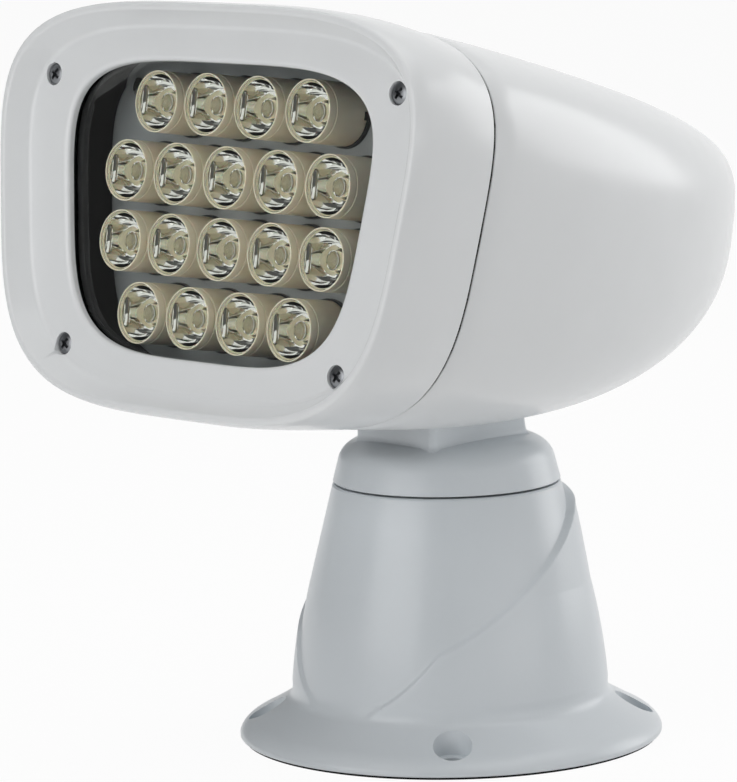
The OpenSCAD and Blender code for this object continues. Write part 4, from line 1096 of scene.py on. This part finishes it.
        lens = turn([(0.0, front), (lip_r - 0.2, front), (lip_r, front + 0.2), (lip_r, lip)]
                    + curve + [(self.pocket_r, back)] + dome, DEPTH, self.diode_steps)
        self.add("diode_lenses", copies(lens, places), CLEAR_ACRYLIC, "reflector", ["diode_reflectors"], 30.0)

    def build(self) -> None:
        """Builds every piece of the head that shows."""
        self.bezel()
        self.rear_housing()
        self.bezel_screws()
        self.glass()
        self.retainer()
        self.diodes()


@dataclass
class Lamp:
    """A soft box that points at the object."""

    name: str
    azimuth_deg: float
    elevation_deg: float
    distance: float
    width: float
    height: float
    watts: float

    def build(self, target: Vector) -> None:
        """Hangs the lamp.

        Args:
            target: Point that it faces, in metres.
        """
        a, e = math.radians(self.azimuth_deg), math.radians(self.elevation_deg)
        way = Vector((math.sin(a) * math.cos(e), -math.cos(a) * math.cos(e), math.sin(e)))
        data = bpy.data.lights.new(self.name, "AREA")
        data.shape = "RECTANGLE"
        data.size, data.size_y = self.width, self.height
        data.energy = self.watts
        lamp = add_object(self.name, data)
        lamp.location = target + way * self.distance
        lamp.rotation_euler = (-way).to_track_quat("-Z", "Y").to_euler()


@dataclass
class Studio:
    """White floor, soft lamps and the camera at the photograph's viewing angle."""

    floor_half: float = 12.0
    floor_colour: str = "#f0f0f0"
    floor_roughness: float = 0.9
    floor_white: float = 0.95
    ambient: float = 0.09
    backdrop: float = 0.28
    backdrop_edge: float = 0.08
    backdrop_way: Triple = (0.574, 0.819, 0.0)
    target: Triple = (0.0, -0.01, 0.16)
    camera_azimuth_deg: float = 44.612
    camera_distance: float = 1.6069
    camera_height: float = 0.3648
    camera_pan_deg: float = 1.027
    camera_pitch_deg: float = 8.263
    camera_roll_deg: float = -1.146
    focal_px: float = 4319.9
    lamps: list[Lamp] = field(default_factory=lambda: [
        Lamp("front", -1.0, 13.0, 1.9, 1.5, 0.9, 11.4),
        Lamp("rim", 160.0, 15.0, 2.0, 1.2, 1.2, 9.5),
        Lamp("top", 45.0, 86.0, 1.6, 2.4, 2.4, 18.0),
        Lamp("right", 100.0, 3.0, 2.0, 1.2, 0.4, 2.4),
    ])

    def camera(self) -> None:
        """Sets the camera with the photograph's place, turn and focal length."""
        azimuth = math.radians(self.camera_azimuth_deg)
        heading = azimuth + math.radians(self.camera_pan_deg)
        pitch, roll = math.radians(self.camera_pitch_deg), math.radians(self.camera_roll_deg)
        turned = Matrix.Rotation(heading, 4, "Z") @ Matrix.Rotation(math.pi / 2 - pitch, 4, "X")
        data = bpy.data.cameras.new("camera")
        data.sensor_width = 36.0
        data.lens = data.sensor_width * self.focal_px / PHOTO_SIDE_PX
        data.clip_end = 50.0
        camera = add_object("camera", data)
        spot = Vector((math.sin(azimuth), -math.cos(azimuth), 0)) * self.camera_distance
        spot.z = self.camera_height
        camera.matrix_world = Matrix.Translation(spot) @ turned @ Matrix.Rotation(roll, 4, "Z")
        bpy.context.scene.camera = camera

    def shown(self, tree: Tree, mirrored: Socket | float) -> Socket:
        """Adds the test for rays that see the white background.

        Args:
            tree: Node tree that gets the nodes.
            mirrored: How far mirror and glass rays see it, from 0 to 1.

        Returns:
            Socket that is 1 for camera rays, and the given share for rays off metal or through glass.
        """
        path = add_node(tree, "LightPath")
        bent = add_node(tree, "Math", {
            0: path.outputs["Is Glossy Ray"], 1: path.outputs["Is Transmission Ray"]}, operation="MAXIMUM")
        seen = add_node(tree, "Math", {0: bent.outputs[0], 1: mirrored}, operation="MULTIPLY")
        either = add_node(tree, "Math", {
            0: path.outputs["Is Camera Ray"], 1: seen.outputs[0]}, operation="MAXIMUM")
        return either.outputs[0]

    def world(self) -> None:
        """White backdrop behind the object, in front of it a dim room, and a plain soft light from both."""
        world = bpy.data.worlds.new("studio")
        bpy.context.scene.world = world
        world.use_nodes = True
        tree = world.node_tree
        light = tree.nodes["Background"]
        way = add_node(tree, "TexCoord").outputs["Generated"]
        along = add_node(tree, "VectorMath", {0: way, 1: self.backdrop_way}, operation="DOT_PRODUCT")
        behind = add_node(tree, "MapRange", {
            "Value": along.outputs["Value"], "From Min": -self.backdrop_edge, "From Max": self.backdrop_edge})
        level = add_node(tree, "MapRange", {
            "Value": behind.outputs["Result"], "To Min": self.ambient, "To Max": self.backdrop})
        plug(tree, light, {"Color": WHITE, "Strength": level.outputs["Result"]})
        white = add_node(tree, "Background", {"Color": WHITE, "Strength": 1.0})
        mixed = add_node(tree, "MixShader", {
            0: self.shown(tree, behind.outputs["Result"]), 1: light.outputs[0], 2: white.outputs[0]})
        plug(tree, tree.nodes["World Output"], {"Surface": mixed.outputs[0]})

    def floor(self) -> None:
        """Pale floor that keeps a soft shadow."""
        mesh = bmesh.new()
        bmesh.ops.create_grid(mesh, x_segments=1, y_segments=1, size=self.floor_half)
        data = mesh_data("floor", mesh)
        paint, tree, shader = new_material("Pale floor")
        plug(tree, shader, {"Base Color": linear(self.floor_colour), "Roughness": self.floor_roughness})
        white = add_node(tree, "Emission", {"Color": WHITE, "Strength": 1.0})
        share = add_node(tree, "Math", {
            0: self.shown(tree, 1.0), 1: self.floor_white}, operation="MULTIPLY")
        mixed = add_node(tree, "MixShader", {
            0: share.outputs[0], 1: shader.outputs["BSDF"], 2: white.outputs[0]})
        plug(tree, tree.nodes["Material Output"], {"Surface": mixed.outputs[0]})
        data.materials.append(paint)
        add_object("floor", data)

    def build(self) -> None:
        """Sets up the view, the surroundings, the floor and the lamps."""
        bpy.context.scene.view_settings.view_transform = "Standard"
        self.camera()
        self.world()
        self.floor()
        for lamp in self.lamps:
            lamp.build(Vector(self.target))


def main() -> None:
    """Dresses the frame, builds each sub-assembly and sets the studio."""
    logging.basicConfig(level=logging.INFO, format="%(name)s: %(message)s")
    dress_nodes()
    for part in (Base(), Turntable(), Head(), Studio()):
        part.build()


if __name__ == "__main__":
    main()
